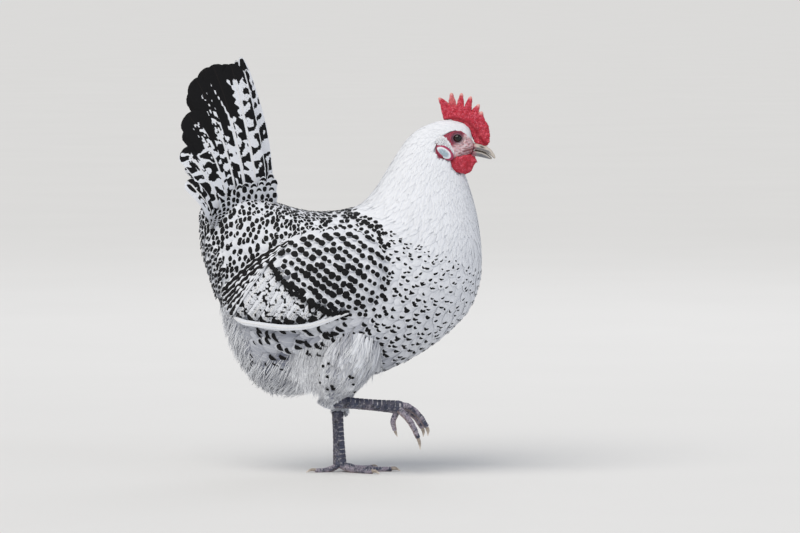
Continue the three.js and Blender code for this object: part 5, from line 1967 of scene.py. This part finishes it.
class HEN_OT_stage(bpy.types.Operator):
    """Pale floor, soft lights and the camera"""

    bl_idname = "hen.stage"
    bl_label = "Stage"

    def execute(self, context):
        scene, stage = context.scene, context.scene.hen_stage
        rings, around = 12, 64
        reach = np.concatenate([[0.001], np.geomspace(400, 400000, rings)])[:, None]
        turn = circle(around)[None]
        disc = np.stack([reach * np.cos(turn), reach * np.sin(turn), np.zeros((rings + 1, around))], -1)
        mesh = bpy.data.meshes.new("floor")
        mesh.from_pydata((disc.reshape(-1, 3) * MM).tolist(), [],
                         grid_faces(rings + 1, around, closed=True).tolist())
        mesh.materials.append(finish_of(floor_finish))
        add_object("floor", mesh)
        rise_of_light = math.atan2(SKY_PLACE[2], math.hypot(*SKY_PLACE[:2]))
        world = bpy.data.worlds.new("surround")
        world.use_nodes = True
        tree, glow = world.node_tree, world.node_tree.nodes["Background"]
        glow.inputs[0].default_value, glow.inputs[1].default_value = paint("e6eaf2"), stage.world
        shown = tree.nodes.new("ShaderNodeBackground")
        shown.inputs[0].default_value = [c * m for c, m in zip(stage.floor, FAR_FLOOR)]
        shown.inputs[1].default_value = stage.world * 0.82 + stage.key * math.sin(rise_of_light) / math.pi
        path, both = tree.nodes.new("ShaderNodeLightPath"), tree.nodes.new("ShaderNodeMixShader")
        for start, end in ((path.outputs["Is Camera Ray"], both.inputs[0]), (glow.outputs[0], both.inputs[1]),
                           (shown.outputs[0], both.inputs[2]),
                           (both.outputs[0], tree.nodes["World Output"].inputs[0])):
            tree.links.new(start, end)
        scene.world = world
        for name, place, power, size, colour in (
                ("sky", SKY_PLACE, stage.key, 0.9, "fffaf2"),
                ("fill", (2.6, -2.2, 1.4), stage.fill, 2.2, "eef3ff"),
                ("back", (0.6, 2.6, 2.6), stage.fill, 1.8, "f4f7ff")):
            lamp = bpy.data.lights.new(name, "SUN" if name == "sky" else "AREA")
            lamp.energy, lamp.color = power, paint(colour)[:3]
            setattr(lamp, "angle" if name == "sky" else "size", size)
            holder = add_object(name, lamp)
            holder.location = place
            aim = Vector((0, 0, 0.22)) - Vector(place)
            holder.rotation_euler = aim.to_track_quat("-Z", "Y").to_euler()
            holder.visible_camera = False
        lens = bpy.data.cameras.new("camera")
        lens.sensor_width, lens.clip_end = SENSOR, 200
        lens.lens = SENSOR * stage.distance / VIEW_WIDTH
        scene.camera = add_object("camera", lens)
        rise = math.radians(LOOK_DOWN)
        away = Vector((0, -math.cos(rise), math.sin(rise))) * stage.distance
        scene.camera.location = Vector(AIM) + away
        scene.camera.rotation_euler = (math.pi / 2 - rise, 0, 0)
        scene.view_settings.view_transform = "Standard"
        return {"FINISHED"}


# ---------------- panel and run


class HEN_PT_panel(bpy.types.Panel):
    """Lists the steps that build the hen"""

    bl_label = "Silver-pencilled hen"
    bl_idname = "HEN_PT_panel"
    bl_space_type = "VIEW_3D"
    bl_region_type = "UI"
    bl_category = "Hen"

    def draw(self, context):
        for key in GROUPS:
            box, group = self.layout.box(), getattr(context.scene, key)
            for name in group.__annotations__:
                box.prop(group, name)
        for step in STEPS:
            self.layout.operator(step.bl_idname)


GROUPS = {"hen_coat": HenCoat, "hen_face": HenFace, "hen_stage": HenStage}
STEPS = (
    HEN_OT_stage, HEN_OT_skin, HEN_OT_head_feathers, HEN_OT_neck_feathers, HEN_OT_body_feathers,
    HEN_OT_down, HEN_OT_wings, HEN_OT_tail, HEN_OT_face, HEN_OT_eyes, HEN_OT_comb, HEN_OT_wattles,
    HEN_OT_bill, HEN_OT_legs,
)


CLASSES = (*GROUPS.values(), *STEPS, HEN_PT_panel)


def register():
    for kind in CLASSES:
        bpy.utils.register_class(kind)
    for key, kind in GROUPS.items():
        setattr(bpy.types.Scene, key, bpy.props.PointerProperty(type=kind))


def unregister():
    for key in GROUPS:
        delattr(bpy.types.Scene, key)
    for kind in reversed(CLASSES):
        bpy.utils.unregister_class(kind)


def main():
    register()
    for step in STEPS:
        group, name = step.bl_idname.split(".")
        getattr(getattr(bpy.ops, group), name)()


if __name__ == "__main__":
    main()
